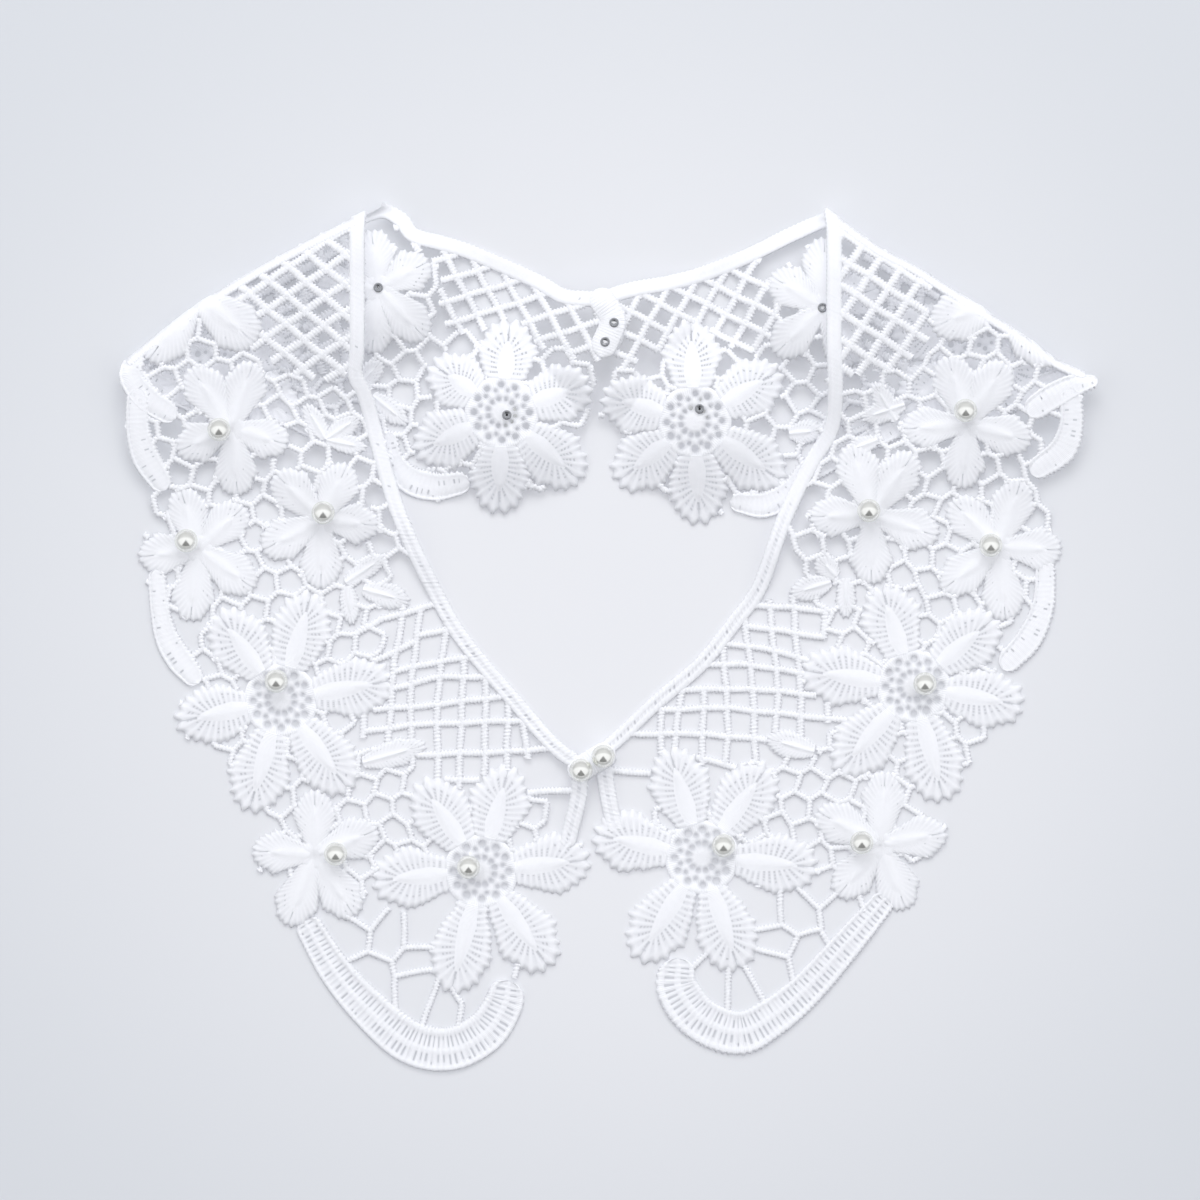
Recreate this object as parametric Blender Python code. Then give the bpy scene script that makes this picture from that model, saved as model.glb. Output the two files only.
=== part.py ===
"""Lace collar: two strips of stitched lace laid face up, each folded at the shoulder, with pearls.

Lengths in the tables are millimetres. The strips are planned flat as seen from above, as strokes
that widen and narrow along their length, and then laid at the height of what they rest on.
"""
import math

import bmesh
import bpy
import numpy as np
from mathutils import Matrix, Vector
from mathutils.bvhtree import BVHTree
from mathutils.geometry import delaunay_2d_cdt

MM = 0.001

# Driving dimensions
WALL = 1.4
RELIEF = 0.7
SEAM = 0.3
BAND_WIDTH = 5.2
BAR_WIDTH = 2.2
BRIDE_WIDTH = 1.9
TAB_RADIUS = 4.4
PEARL_DIAMETER = 7.8
RIVET_RADIUS = 1.6
RIVET_HEIGHT = 0.7
RIVET_ROUNDING = 0.3
# Height of the lace's underside at the shoulder fold, at its outer corner and at the neck
CREST_OUTER = 7.0
CREST_NECK = 12.0
# Move that brings the middle of the whole collar to the origin
SHIFT_X = -0.15
SHIFT_Y = -0.45

# How the lace settles: level out to the first distance, then falling to nothing at the second
CREST_REACH = (4.0, 62.0)
BEAD_REACH = (6.5, 38.0)
TAB_REACH = (9.0, 30.0)
OVER_BACK_REACH = (4.0, 30.0)
OVER_BEAD_REACH = (10.0, 60.0)
OVER_BACK_LIFT = 3.4
OVER_BEAD_LIFT = 12.0
TAB_LIFT = WALL + 2 * SEAM

# How finely the outlines are worked out
GRID = 0.6
BLEND = 1.2
OUTLINE_TOLERANCE = 0.5
LONGEST_EDGE = 11.0
NET_JITTER = 0.9
HIDDEN_FROM = 60.0
FOLD_GUIDE = (0.7, 2.75, 5.5)
BEAD_RING = 5.0
SMALLEST_GAP = 12.0
SHARP_EDGE = 35.0
EDGE_CLEARANCE = 1.0
# A height over the whole collar, and a distance beyond everything
ABOVE = 60.0
FAR = 1e6
GAPS_CUT = {"front_left": 90, "front_right": 90, "back_left": 42, "back_right": 42}

PIECES = ("front_left", "front_right", "back_left", "back_right")

# Petal outline: share of the reach from the hub, share of the petal's width as radius
PETAL_PROFILES = {
    "big": ((0.24, 0.21), (0.42, 0.36), (0.60, 0.47), (0.71, 0.50)),
    "small": ((0.10, 0.20), (0.34, 0.33), (0.56, 0.46), (0.68, 0.50)),
    "fold": ((0.10, 0.20), (0.34, 0.36), (0.56, 0.46), (0.66, 0.50)),
}
PETAL_TIP = 0.40
PETAL_WIDTH = {"big": 20.3, "small": 14.8, "fold": 18.0}
HUB_RADIUS = {"big": 12.0, "small": 4.6, "fold": 5.0}

# Flowers: piece, hub x, hub y, kind, petal directions in degrees, petal reaches, bead x, bead y
FLOWERS = (
    ("front_left", -42.3, -77.7, "big", (124, 75, 6, -55, -104, 185),
     (36.0, 35.7, 36.5, 39.3, 41.3, 36.4), -46.4, -76.2),
    ("front_left", -109.0, -20.7, "big", (74, 126, 192, 254, -53, 10),
     (37.4, 36.5, 35.4, 38.5, 37.6, 37.9), -110.4, -14.3),
    ("front_left", -97.7, -72.3, "small", (90, 22, -57, 249, 176),
     (21.7, 22.7, 24.6, 25.3, 20.7), -90.6, -71.8),
    ("front_left", -136.3, 29.7, "small", (107, 43, -36, 263, 188),
     (20.9, 21.0, 22.7, 24.5, 20.2), -140.3, 32.4),
    ("front_left", -95.3, 39.3, "small", (65, -6, -91, 207, 135),
     (20.6, 19.1, 23.0, 22.5, 22.2), -94.7, 41.7),
    ("front_left", -125.3, 70.0, "small", (124, 71, -17, -85, 204),
     (24.0, 22.9, 19.8, 23.0, 19.7), -129.2, 69.3),
    ("front_left", -136.7, 114.3, "fold", (234, -40), (27.5, 26.0), None, None),
    ("front_right", 31.3, -73.0, "big", (168, 107, 54, -5, -72, 238),
     (37.1, 38.0, 37.7, 38.8, 39.8, 40.0), 38.4, -69.0),
    ("front_right", 101.7, -16.0, "big", (108, 40, -10, -75, 229, 172),
     (35.4, 35.5, 37.3, 39.6, 37.8, 37.3), 105.4, -15.2),
    ("front_right", 90.7, -69.0, "small", (86, 11, -68, 230, 152),
     (24.7, 22.4, 23.3, 22.2, 23.9), 84.4, -68.0),
    ("front_right", 130.3, 30.3, "small", (136, 72, -3, -85, 217),
     (22.6, 23.5, 21.0, 25.0, 23.8), 127.3, 30.9),
    ("front_right", 87.7, 40.7, "small", (106, 56, -17, -90, 181),
     (25.0, 25.0, 23.4, 23.0, 20.7), 86.7, 42.4),
    ("front_right", 119.3, 71.0, "small", (106, 58, -15, -94, 184),
     (23.6, 24.2, 22.5, 21.4, 21.7), 118.7, 75.6),
    ("front_right", 131.7, 113.7, "fold", (204, -54), (26.7, 28.0), None, None),
    ("back_left", -35.3, 75.0, "big", (85, 18, -41, -92, 205, 145),
     (30.8, 30.9, 34.7, 33.0, 32.0, 28.8), -33.6, 74.1),
    ("back_left", -76.3, 116.3, "small", (28, -47, -96, 97, 180),
     (19.2, 23.0, 22.3, 19.7, 20.3), -76.3, 116.4),
    ("back_left", -128.7, 90.0, "big", (80, 25, -35, 140, 200, 255),
     (26.0, 30.0, 30.0, 22.0, 22.0, 22.0), None, None),
    ("back_right", 28.7, 72.0, "big", (92, 164, 218, -87, -34, 31),
     (33.7, 31.9, 32.5, 33.7, 35.5, 33.5), 30.4, 76.1),
    ("back_right", 71.3, 109.7, "small", (148, 224, 88, 20, -60),
     (20.5, 22.2, 23.7, 20.0, 22.0), 71.2, 109.7),
    ("back_right", 122.3, 93.3, "big", (100, 155, 215, 40, -20, -80),
     (26.0, 30.0, 30.0, 22.0, 22.0, 22.0), None, None),
)

# Edge crescents: piece, then x, y, width along the middle line
CRESCENTS = (
    ("front_left", ((-100, -95.7, 9), (-91, -110.7, 11), (-79.3, -124, 13), (-66, -134.7, 14.5),
                    (-52.7, -137, 14.5), (-41, -131.3, 14), (-35, -122.3, 13), (-33.7, -116.7, 11.5))),
    ("front_left", ((-150.3, 20, 6), (-149.3, 9.3, 6.5), (-147, 0, 8), (-142.7, -7.3, 9),
                    (-138.7, -12.3, 7.5))),
    ("front_left", ((-156.3, 79.3, 7.5), (-156.3, 69.3, 8), (-153.7, 60, 9.3), (-149.3, 52.7, 8))),
    ("front_left", ((-157.7, 92.3, 7.5), (-158.5, 86.7, 8), (-153.7, 80, 9), (-147, 75.3, 8))),
    ("front_right", ((91.7, -88, 8), (80, -101.7, 10), (66, -117.3, 11.5), (54, -127, 13),
                     (43.3, -131.7, 14.5), (30.7, -127, 14.5), (23.3, -117.3, 14), (23, -109.3, 11.5))),
    ("front_right", ((145.7, 22.7, 6.5), (145, 11, 7.5), (140.7, 0.3, 8.7), (134, -7.3, 8))),
    ("front_right", ((153.7, 79.3, 7.5), (154, 71, 8), (151.3, 62.7, 9.3), (144, 57, 8))),
    ("front_right", ((160.3, 85.3, 5), (154.7, 83.8, 8), (147.3, 80, 9), (142.7, 77, 8.5))),
    ("back_left", ((-72.7, 66, 5), (-71, 58.7, 6.5), (-66, 52.7, 9.5), (-57.7, 50.3, 9.5), (-50, 51.3, 8))),
    ("back_right", ((44, 45, 7), (52.3, 44.3, 8.7), (60.7, 48.7, 8), (65.7, 56, 6))),
    ("back_left", ((-156, 88, 6), (-142.7, 81, 8), (-126, 76, 9), (-109.3, 75, 8), (-90, 66, 7),
                   (-74, 60, 6))),
    ("back_right", ((152, 88, 6), (140, 82, 8), (124, 76, 9), (107, 75, 8), (88, 66, 7), (66, 54, 6))),
)

# Leaves: piece, base x, base y, tip x, tip y, width
LEAVES = (
    ("front_left", -87.7, 18.3, -74.0, 27.3, 6.7),
    ("front_left", -82.0, 16.3, -66.0, 12.0, 8.7),
    ("front_left", -87.0, 17.7, -85.3, 4.0, 6.7),
    ("front_left", -82.0, -41.7, -61.0, -35.7, 9.5),
    ("front_left", -94.0, 66.0, -82.0, 74.0, 7.0),
    ("front_left", -94.0, 66.0, -101.0, 78.0, 7.0),
    ("front_left", -94.0, 66.0, -80.0, 63.0, 6.5),
    ("front_right", 76.3, 20.3, 69.5, 27.2, 7.5),
    ("front_right", 74.6, 18.7, 60.6, 14.4, 8.7),
    ("front_right", 79.3, 20.3, 79.3, 6.7, 6.7),
    ("front_right", 69.0, -38.0, 52.3, -33.3, 9.5),
    ("front_right", 99.0, 77.7, 84.0, 72.7, 7.5),
    ("front_right", 96.0, 72.0, 88.0, 85.0, 7.0),
    ("front_right", 90.0, 66.0, 79.0, 62.0, 6.5),
    ("back_left", -84.3, 82.7, -75.0, 92.7, 7.5),
    ("back_left", -78.7, 81.0, -66.7, 71.0, 7.5),
    ("back_right", 60.0, 68.0, 72.3, 69.3, 8.0),
)

# Neck edge bands and the ladder edges at centre front: piece, width, then x, y along the middle
BANDS = (
    ("front_left", BAND_WIDTH, ((-83.3, 142.5), (-83.3, 99.3), (-84, 87.7), (-80.3, 78.7), (-74.3, 56),
                                (-68.3, 37.7), (-57.7, 15.3), (-48.3, -0.7), (-31.3, -21), (-18.7, -35.3),
                                (-11, -41.3))),
    ("front_right", BAND_WIDTH, ((75, 143), (75, 102.7), (75, 72.7), (67.3, 57.7), (58.3, 38.7),
                                 (50.7, 17.3), (42.3, 5.3), (30.7, -9), (16.7, -21), (4, -33), (-2, -38))),
    ("back_left", BAND_WIDTH, ((-86, 138), (-80.7, 141), (-74.7, 142.3), (-68.7, 139), (-64.7, 134),
                               (-55, 131.3), (-44.7, 128), (-24.3, 119), (-15, 113.7), (-7.3, 112.7),
                               (-1.2, 112))),
    ("back_right", BAND_WIDTH, ((-4, 112), (7.7, 115.7), (21.3, 118.3), (34.7, 122.3), (48.3, 128),
                                (62, 134.7), (72.5, 139.2), (76, 138.7))),
    ("front_left", 5.6, ((-9.3, -46), (-10, -54), (-13.3, -67.3))),
    ("front_right", 5.6, ((-1.3, -44), (0, -52.3), (2, -62.3))),
    ("front_left", 2 * TAB_RADIUS, ((-9.2, -43.8), (-1.8, -39.2))),
    ("front_right", 2 * TAB_RADIUS, ((-7, -42.6), (-1.6, -39.5))),
    ("back_left", 2 * TAB_RADIUS, ((-2.0, 112.0), (1.6, 105.5), (-1.2, 97.5))),
    ("back_right", 2 * TAB_RADIUS, ((-1.0, 111.0), (1.8, 105.5), (0.6, 100.0))),
)

# Lattice bars of the two fronts, which lie a little unevenly: piece, x and y of each end
FRONT_BARS = (
    ("front_left", -84.3, 1.3, -76, 6), ("front_left", -76, 6, -59, 10.7),
    ("front_left", -74.3, -6, -64, -1.3), ("front_left", -63, 0.7, -54, 2.7),
    ("front_left", -70.7, -11, -56.3, -8), ("front_left", -56.3, -8, -47.7, -6.7),
    ("front_left", -71.3, -16.7, -56, -13), ("front_left", -56, -13, -41.3, -13),
    ("front_left", -81, -24.3, -57.3, -22.3), ("front_left", -57.3, -22.3, -39.3, -20),
    ("front_left", -81, -31.3, -65.7, -29), ("front_left", -65.7, -29, -32.7, -27.7),
    ("front_left", -62, -39, -26.7, -37.7), ("front_left", -26.7, -37.7, -19.3, -36.7),
    ("front_left", -49, -47.3, -41.3, -47.3), ("front_left", -21.3, -51.3, -12, -50.7),
    ("front_left", -81, -22.7, -81.7, -32.3), ("front_left", -68.3, 8.7, -71.3, -9),
    ("front_left", -71.3, -9, -73, -31.7), ("front_left", -62.7, 7.7, -65.7, -16),
    ("front_left", -65.7, -16, -65.7, -30), ("front_left", -54, 2.7, -57, -20.7),
    ("front_left", -57, -20.7, -56.7, -44.7), ("front_left", -48, -7.3, -49.7, -46.7),
    ("front_left", -40.7, -16.7, -41.3, -49.3), ("front_left", -33.3, -24, -33.7, -42),
    ("front_left", -28, -29.7, -27, -39.3),
    ("front_right", 46.3, 10.7, 61.7, 10.3), ("front_right", 61.7, 10.3, 71.3, 8.7),
    ("front_right", 46.3, 4, 71.3, 0.3), ("front_right", 39, -1.7, 54, -4),
    ("front_right", 54, -4, 66, -7.3), ("front_right", 32, -8.7, 47.3, -9),
    ("front_right", 47.3, -9, 64, -11.7), ("front_right", 24, -17.3, 48, -17),
    ("front_right", 48, -17, 80.7, -20.3), ("front_right", 17, -24, 39.7, -23.3),
    ("front_right", 39.7, -23.3, 73.7, -27), ("front_right", 8, -32, 31.7, -32),
    ("front_right", 31.7, -32, 52, -34), ("front_right", 31.3, -40.3, 39.3, -42.3),
    ("front_right", 3.3, -44.3, 10.7, -45), ("front_right", 17.7, -25.3, 17.7, -38),
    ("front_right", 23.7, -23.3, 22, -37.3), ("front_right", 32, -17.3, 31, -50),
    ("front_right", 38.3, -2, 40.3, -32.7), ("front_right", 40.3, -32.7, 39, -41.3),
    ("front_right", 45.7, 5.3, 48.3, -17.3), ("front_right", 48.3, -17.3, 49, -37.3),
    ("front_right", 53.7, 12, 56.7, -17.3), ("front_right", 56.7, -17.3, 56, -29.7),
    ("front_right", 61.7, 11.3, 64.3, -19), ("front_right", 64.3, -19, 64.3, -31.3),
    ("front_right", 72.7, 8.7, 71.7, 0.7), ("front_right", 73.3, -19.7, 73.3, -27.3),
)

# Even lattices: piece, a crossing's x and y, the two bar directions in degrees, spacing, region
LATTICES = (
    ("front_left", -100.0, 118.0, 34, -40, 7.6,
     ((-85.3, 150), (-85.3, 88.7), (-92.7, 86), (-106, 88.7), (-117.7, 96), (-126.7, 106.7),
      (-130, 125), (-97, 145))),
    ("front_right", 93.0, 116.0, -32, 56, 7.6,
     ((76.7, 150), (76.7, 88.7), (85.7, 87.7), (97.3, 90), (107.3, 101), (104, 112.7),
      (114, 125), (90.3, 140))),
    ("back_left", -40.0, 116.0, -62, 17, 7.1,
     ((-72, 137.7), (-64.3, 131.7), (-44.7, 125.3), (-24.3, 116.7), (-15, 111.3), (-2.7, 110.7),
      (-1, 96), (-5.3, 90), (-16, 96), (-26, 97.7), (-36, 104.3), (-52.7, 101), (-56, 112.7),
      (-54.3, 122.7), (-62.7, 129.3))),
    ("back_right", 33.0, 111.0, 61, -27, 7.0,
     ((2, 112.7), (21.3, 116.7), (34.7, 120), (49, 126.7), (53.3, 121), (56.7, 112.7), (54, 97.7),
      (45.7, 95.3), (30.7, 101), (24, 97.7), (14, 96), (5.7, 89.3), (1.3, 97.7))),
    ("back_left", -101.0, 113.0, 29, -77, 8.6,
     ((-86, 150), (-86, 90), (-100, 88), (-116, 104), (-126, 125), (-97, 150))),
    ("back_right", 95.0, 112.0, -29, 77, 8.6,
     ((86, 150), (86, 90), (98, 88), (110, 104), (120, 125), (92, 150))),
)

# Net of brides between the motifs: piece, spacing of the meshes, turn in degrees, region
NETS = (
    ("front_left", 9.2, 8,
     ((-86, 86), (-77.7, 66), (-73.3, 46), (-67.7, 26), (-74.3, 12.7), (-74.3, -17.3), (-84.3, -22.3),
      (-82, -34), (-71, -35.7), (-61, -42.3), (-54.3, -54), (-42.7, -55.7), (-21, -52), (-12.7, -67.3),
      (-16, -100.7), (-34, -110), (-44, -130), (-56, -132), (-67.7, -128), (-84, -113), (-97, -97.3),
      (-102.7, -84), (-115.3, -67.3), (-112.7, -47.3), (-129.3, -44), (-139.3, -30.7), (-136, -4),
      (-146.3, 12.7), (-152, 26), (-153, 46), (-149.3, 59.3), (-156, 72.7), (-160, 88), (-149, 100),
      (-128, 114), (-117.7, 96), (-106, 88.7), (-92.7, 86))),
    ("front_right", 9.2, -6,
     ((77.3, 88.7), (71.3, 69.3), (65.7, 49.3), (59, 31), (68, 16), (69, -10.7), (82.3, -17.3),
      (84.7, -28), (52.3, -35.7), (42.3, -50.7), (27.3, -55.7), (4, -54), (4.7, -70.7), (10.7, -97.3),
      (24, -110), (34, -127), (48, -126), (64, -115.7), (80.7, -99), (97.3, -80.7), (109, -67.3),
      (105.7, -50.7), (124, -40.7), (134, -27.3), (130.7, -4), (141, 12.7), (149, 26), (148.5, 46),
      (144, 62.7), (154, 84), (138, 99), (118, 111), (107.3, 101), (97.3, 90), (85.7, 88.7))),
    ("back_left", 9.4, 20,
     ((-78, 126), (-56, 126), (-55, 104), (-36, 102), (-2, 96), (-4, 72), (-24, 46), (-48, 50),
      (-66, 54), (-74, 62), (-109.3, 75), (-142.7, 82), (-158, 92), (-148, 101), (-126, 116),
      (-116, 104), (-100, 88), (-84, 92))),
    ("back_right", 9.4, -20,
     ((80, 128), (54, 124), (54, 100), (30, 98), (2, 94), (0, 74), (14, 50), (30, 42), (52, 44),
      (66, 52), (107, 75), (140, 82), (153, 91), (138, 100), (124, 112), (110, 104), (98, 88), (84, 92))),
)

# Shoulder folds from the outer corner to the neck, with the half of the collar lying to one side
FOLDS = {
    "left": ((-172.0, 83.5), (-161.7, 91.7), (-148, 102.7), (-135.3, 112), (-115, 124.7), (-97, 134),
             (-84.3, 140.3), (-75, 145), (-64, 150.5)),
    "right": ((170, 84), (162.7, 87), (149.7, 92.5), (138, 101), (125.3, 109.3), (115.7, 115.7),
              (103, 124), (90.3, 130.5), (73.7, 142.3), (63, 150)),
}
# Hidden outer edge of each back strip, under the front
BACK_EDGES = {
    "left": ((-165, 90), (-155, 82), (-142.7, 76.7), (-109.3, 69.3), (-87.7, 60.7), (-74, 50), (-60, 40)),
    "right": ((166, 89), (150, 82), (140.7, 77.3), (107.3, 69.3), (84, 60.7), (70, 48), (56, 38)),
}
# Pearls that hold the halves together: x, y; each pair is riveted through both tabs
FRONT_PAIR = ((-9.0, -43.9), (-1.6, -39.3))
BACK_PAIR = ((2.2, 105.2), (-1.2, 97.5))
BACK_RIVETS = ((2.0, 104.7), (-1.0, 98.3))
# Middle of each lapped pair of tabs, and the bead that lifts each shoulder
FRONT_TAB = (-5.3, -41.5)
BACK_TAB = (0.5, 103.0)
SHOULDER_BEAD = {"left": (-76.3, 116.4), "right": (71.2, 109.7)}

COLOURS = {
    "lace": (0.93, 0.93, 0.94),
    "pearl": (0.86, 0.86, 0.82),
    "silver": (0.62, 0.63, 0.65),
}


def smooth_fall(distance, flat, reach):
    """One out to flat, falling smoothly to nothing at reach."""
    share = np.clip((distance - flat) / (reach - flat), 0.0, 1.0)
    return 1.0 - share * share * (3.0 - 2.0 * share)


def stroke_distance(x, y, stations):
    """Distance outside a stroke whose stations are x, y, radius; negative within it."""
    nearest = np.full(x.shape, FAR)
    for (ax, ay, ar), (bx, by, br) in zip(stations[:-1], stations[1:]):
        dx, dy = bx - ax, by - ay
        share = np.clip(((x - ax) * dx + (y - ay) * dy) / max(dx * dx + dy * dy, 1 / FAR), 0.0, 1.0)
        away = np.hypot(x - ax - share * dx, y - ay - share * dy) - (ar + share * (br - ar))
        nearest = np.minimum(nearest, away)
    return nearest


def line_distance(x, y, line):
    """Signed distance to an open line, positive on its right, and the share of its length reached."""
    best = np.full(x.shape, FAR)
    side = np.zeros(x.shape)
    reached = np.zeros(x.shape)
    lengths = [math.dist(a, b) for a, b in zip(line[:-1], line[1:])]
    before = 0.0
    for (ax, ay), (bx, by), length in zip(line[:-1], line[1:], lengths):
        ux, uy = (bx - ax) / length, (by - ay) / length
        along = np.clip((x - ax) * ux + (y - ay) * uy, 0.0, length)
        away = np.hypot(x - ax - along * ux, y - ay - along * uy)
        closer = away < best
        best = np.where(closer, away, best)
        side = np.where(closer, (x - ax) * uy - (y - ay) * ux, side)
        reached = np.where(closer, before + along, reached)
        before += length
    return best * np.sign(side), reached / before


def region_distance(x, y, corners):
    """Distance outside a closed region, negative within it."""
    best = np.full(x.shape, FAR)
    inside = np.zeros(x.shape, dtype=bool)
    for (ax, ay), (bx, by) in zip(corners, corners[1:] + corners[:1]):
        dx, dy = bx - ax, by - ay
        share = np.clip(((x - ax) * dx + (y - ay) * dy) / (dx * dx + dy * dy), 0.0, 1.0)
        best = np.minimum(best, np.hypot(x - ax - share * dx, y - ay - share * dy))
        if dy:
            crosses = ((ay > y) != (by > y)) & (x < ax + (y - ay) * dx / dy)
            inside ^= crosses
    return np.where(inside, -best, best)


def side_of(piece):
    return piece.split("_")[1]


def inward(piece, x, y):
    """Distance in from the shoulder fold, positive within the collar, and the share of the fold."""
    distance, share = line_distance(x, y, FOLDS[side_of(piece)])
    return (distance if side_of(piece) == "left" else -distance), share


def petal_stations(kind, x, y, angle, reach):
    """Stations of one petal's stroke from the hub to its tip."""
    width = PETAL_WIDTH[kind]
    ux, uy = math.cos(math.radians(angle)), math.sin(math.radians(angle))
    rows = [(share * reach, part * width) for share, part in PETAL_PROFILES[kind]]
    rows.append((reach - PETAL_TIP * width, PETAL_TIP * width))
    return [(x + ux * u, y + uy * u, r) for u, r in rows]


def leaf_stations(x0, y0, x1, y1, width):
    """Stations of a leaf, narrow at both ends."""
    rows = ((0.0, 0.22), (0.35, 0.46), (0.6, 0.5), (0.8, 0.34), (0.92, 0.18))
    return [(x0 + (x1 - x0) * u, y0 + (y1 - y0) * u, r * width) for u, r in rows]


def bar_stations(x0, y0, x1, y1, width):
    return [(x0, y0, width / 2), (x1, y1, width / 2)]


def lattice_bars(cx, cy, angles, spacing, region):
    """Straight bars of two crossing directions, long enough to cross the region."""
    reach = max(math.dist((cx, cy), corner) for corner in region) + spacing
    count = int(reach / spacing) + 1
    bars = []
    for angle in angles:
        ux, uy = math.cos(math.radians(angle)), math.sin(math.radians(angle))
        for step in range(-count, count + 1):
            px, py = cx - uy * step * spacing, cy + ux * step * spacing
            bars.append((px - ux * reach, py - uy * reach, px + ux * reach, py + uy * reach))
    return bars


def net_brides(spacing, turn, region, covered):
    """Sides of slightly uneven six-sided meshes inside the region, without loose ends."""
    turn = math.radians(turn)
    side = spacing / math.sqrt(3.0)
    xs, ys = [c[0] for c in region], [c[1] for c in region]
    mx, my = (min(xs) + max(xs)) / 2, (min(ys) + max(ys)) / 2
    reach = math.hypot(max(xs) - min(xs), max(ys) - min(ys)) / 2 + spacing
    rows = int(reach / (1.5 * side)) + 1
    columns = int(reach / spacing) + 1
    nodes, sides = {}, set()

    def node(i, j, k):
        if (i, j, k) not in nodes:
            u = (i + 0.5 * (j % 2)) * spacing
            v = j * 1.5 * side + (side / 2 if k else -side / 2)
            u += NET_JITTER * math.sin(12.9 * i + 7.3 * j + 3.1 * k)
            v += NET_JITTER * math.cos(9.7 * i + 11.9 * j + 5.3 * k)
            nodes[i, j, k] = (mx + u * math.cos(turn) - v * math.sin(turn),
                              my + u * math.sin(turn) + v * math.cos(turn))
        return (i, j, k)

    for j in range(-rows, rows + 1):
        for i in range(-columns, columns + 1):
            sides.add((node(i, j, 0), node(i, j, 1)))
            shift = j % 2
            sides.add((node(i, j, 1), node(i - 1 + shift, j + 1, 0)))
            sides.add((node(i, j, 1), node(i + shift, j + 1, 0)))
    places = {key: np.array(value) for key, value in nodes.items()}
    keys = list(places)
    spots = np.array([places[key] for key in keys])
    within = dict(zip(keys, region_distance(spots[:, 0], spots[:, 1], region) < 0.0))
    held = dict(zip(keys, covered(spots[:, 0], spots[:, 1]) < -0.3))
    sides = {s for s in sides if (within[s[0]] or held[s[0]]) and (within[s[1]] or held[s[1]])
             and (within[s[0]] or within[s[1]])}
    while True:
        ends = {}
        for a, b in sides:
            ends[a] = ends.get(a, 0) + 1
            ends[b] = ends.get(b, 0) + 1
        loose = {s for s in sides if any(ends[e] == 1 and not held[e] for e in s)}
        if not loose:
            return [(*nodes[a], *nodes[b]) for a, b in sorted(sides)]
        sides -= loose


class Field:
    """Distance to a piece's outline on a grid of points seen from above."""

    def __init__(self, x0, y0, x1, y1):
        self.xs = np.arange(x0, x1 + GRID, GRID)
        self.ys = np.arange(y0, y1 + GRID, GRID)
        self.x, self.y = np.meshgrid(self.xs, self.ys)
        self.value = np.full(self.x.shape, 50.0)

    def add(self, stations, limit=None):
        """Join a stroke on, rounding the corners where it meets what is there."""
        xs, ys, radii = zip(*stations)
        pad = max(radii) + 4 * BLEND
        i0, i1 = np.searchsorted(self.xs, (min(xs) - pad, max(xs) + pad))
        j0, j1 = np.searchsorted(self.ys, (min(ys) - pad, max(ys) + pad))
        if i1 <= i0 or j1 <= j0:
            return
        window = (slice(j0, j1), slice(i0, i1))
        new = stroke_distance(self.x[window], self.y[window], stations)
        if limit is not None:
            new = np.maximum(new, limit[window])
        old = self.value[window]
        mix = np.clip(0.5 + 0.5 * (old - new) / BLEND, 0.0, 1.0)
        self.value[window] = old * (1 - mix) + new * mix - BLEND * mix * (1 - mix)

    def at(self, x, y):
        """The field at any points, from the nearest grid point."""
        i = np.clip(np.rint((x - self.xs[0]) / GRID).astype(int), 0, len(self.xs) - 1)
        j = np.clip(np.rint((y - self.ys[0]) / GRID).astype(int), 0, len(self.ys) - 1)
        return self.value[j, i]

    def loops(self):
        """Closed outlines where the field is nothing, with the piece on the left."""
        v = self.value
        inside = v < 0
        code = (inside[:-1, :-1] * 1 + inside[:-1, 1:] * 2 + inside[1:, 1:] * 4 + inside[1:, :-1] * 8)
        follow, place = {}, {}

        def cut(j, i, edge):
            """Name and place of the crossing on one edge of a cell."""
            a, b = (((j, i), (j, i + 1)), ((j, i + 1), (j + 1, i + 1)),
                    ((j + 1, i), (j + 1, i + 1)), ((j, i), (j + 1, i)))[edge]
            key = (a, b)
            if key not in place:
                share = v[a] / (v[a] - v[b])
                ax, ay = self.xs[a[1]], self.ys[a[0]]
                bx, by = self.xs[b[1]], self.ys[b[0]]
                place[key] = (ax + share * (bx - ax), ay + share * (by - ay))
            return key

        turns = {1: ((0, 3),), 2: ((1, 0),), 3: ((1, 3),), 4: ((2, 1),), 6: ((2, 0),), 7: ((2, 3),),
                 8: ((3, 2),), 9: ((0, 2),), 11: ((1, 2),), 12: ((3, 1),), 13: ((0, 1),), 14: ((3, 0),),
                 5: ((0, 1), (2, 3)), 10: ((3, 0), (1, 2))}
        for j, i in zip(*np.nonzero((code > 0) & (code < 15))):
            for start, end in turns[int(code[j, i])]:
                follow[cut(j, i, start)] = cut(j, i, end)
        loops = []
        while follow:
            first, key = next(iter(follow.items()))
            loop = [place[first]]
            del follow[first]
            while key != first:
                loop.append(place[key])
                key = follow.pop(key)
            loops.append(loop)
        return loops


def loop_area(loop):
    x, y = np.array(loop).T
    return 0.5 * float(np.sum(x * np.roll(y, -1) - y * np.roll(x, -1)))


def thin_line(points, tolerance):
    """Keep only the points an open line needs to stay within the tolerance."""
    points = np.asarray(points)
    keep = {0, len(points) - 1}
    stack = [(0, len(points) - 1)]
    while stack:
        a, b = stack.pop()
        if b <= a + 1:
            continue
        span = points[b] - points[a]
        length = float(np.hypot(*span)) or 1e-9
        between = points[a + 1:b] - points[a]
        away = np.abs(between[:, 0] * span[1] - between[:, 1] * span[0]) / length
        worst = int(np.argmax(away))
        if away[worst] > tolerance:
            middle = a + 1 + worst
            keep.add(middle)
            stack += [(a, middle), (middle, b)]
    return [tuple(points[k]) for k in sorted(keep)]


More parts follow.
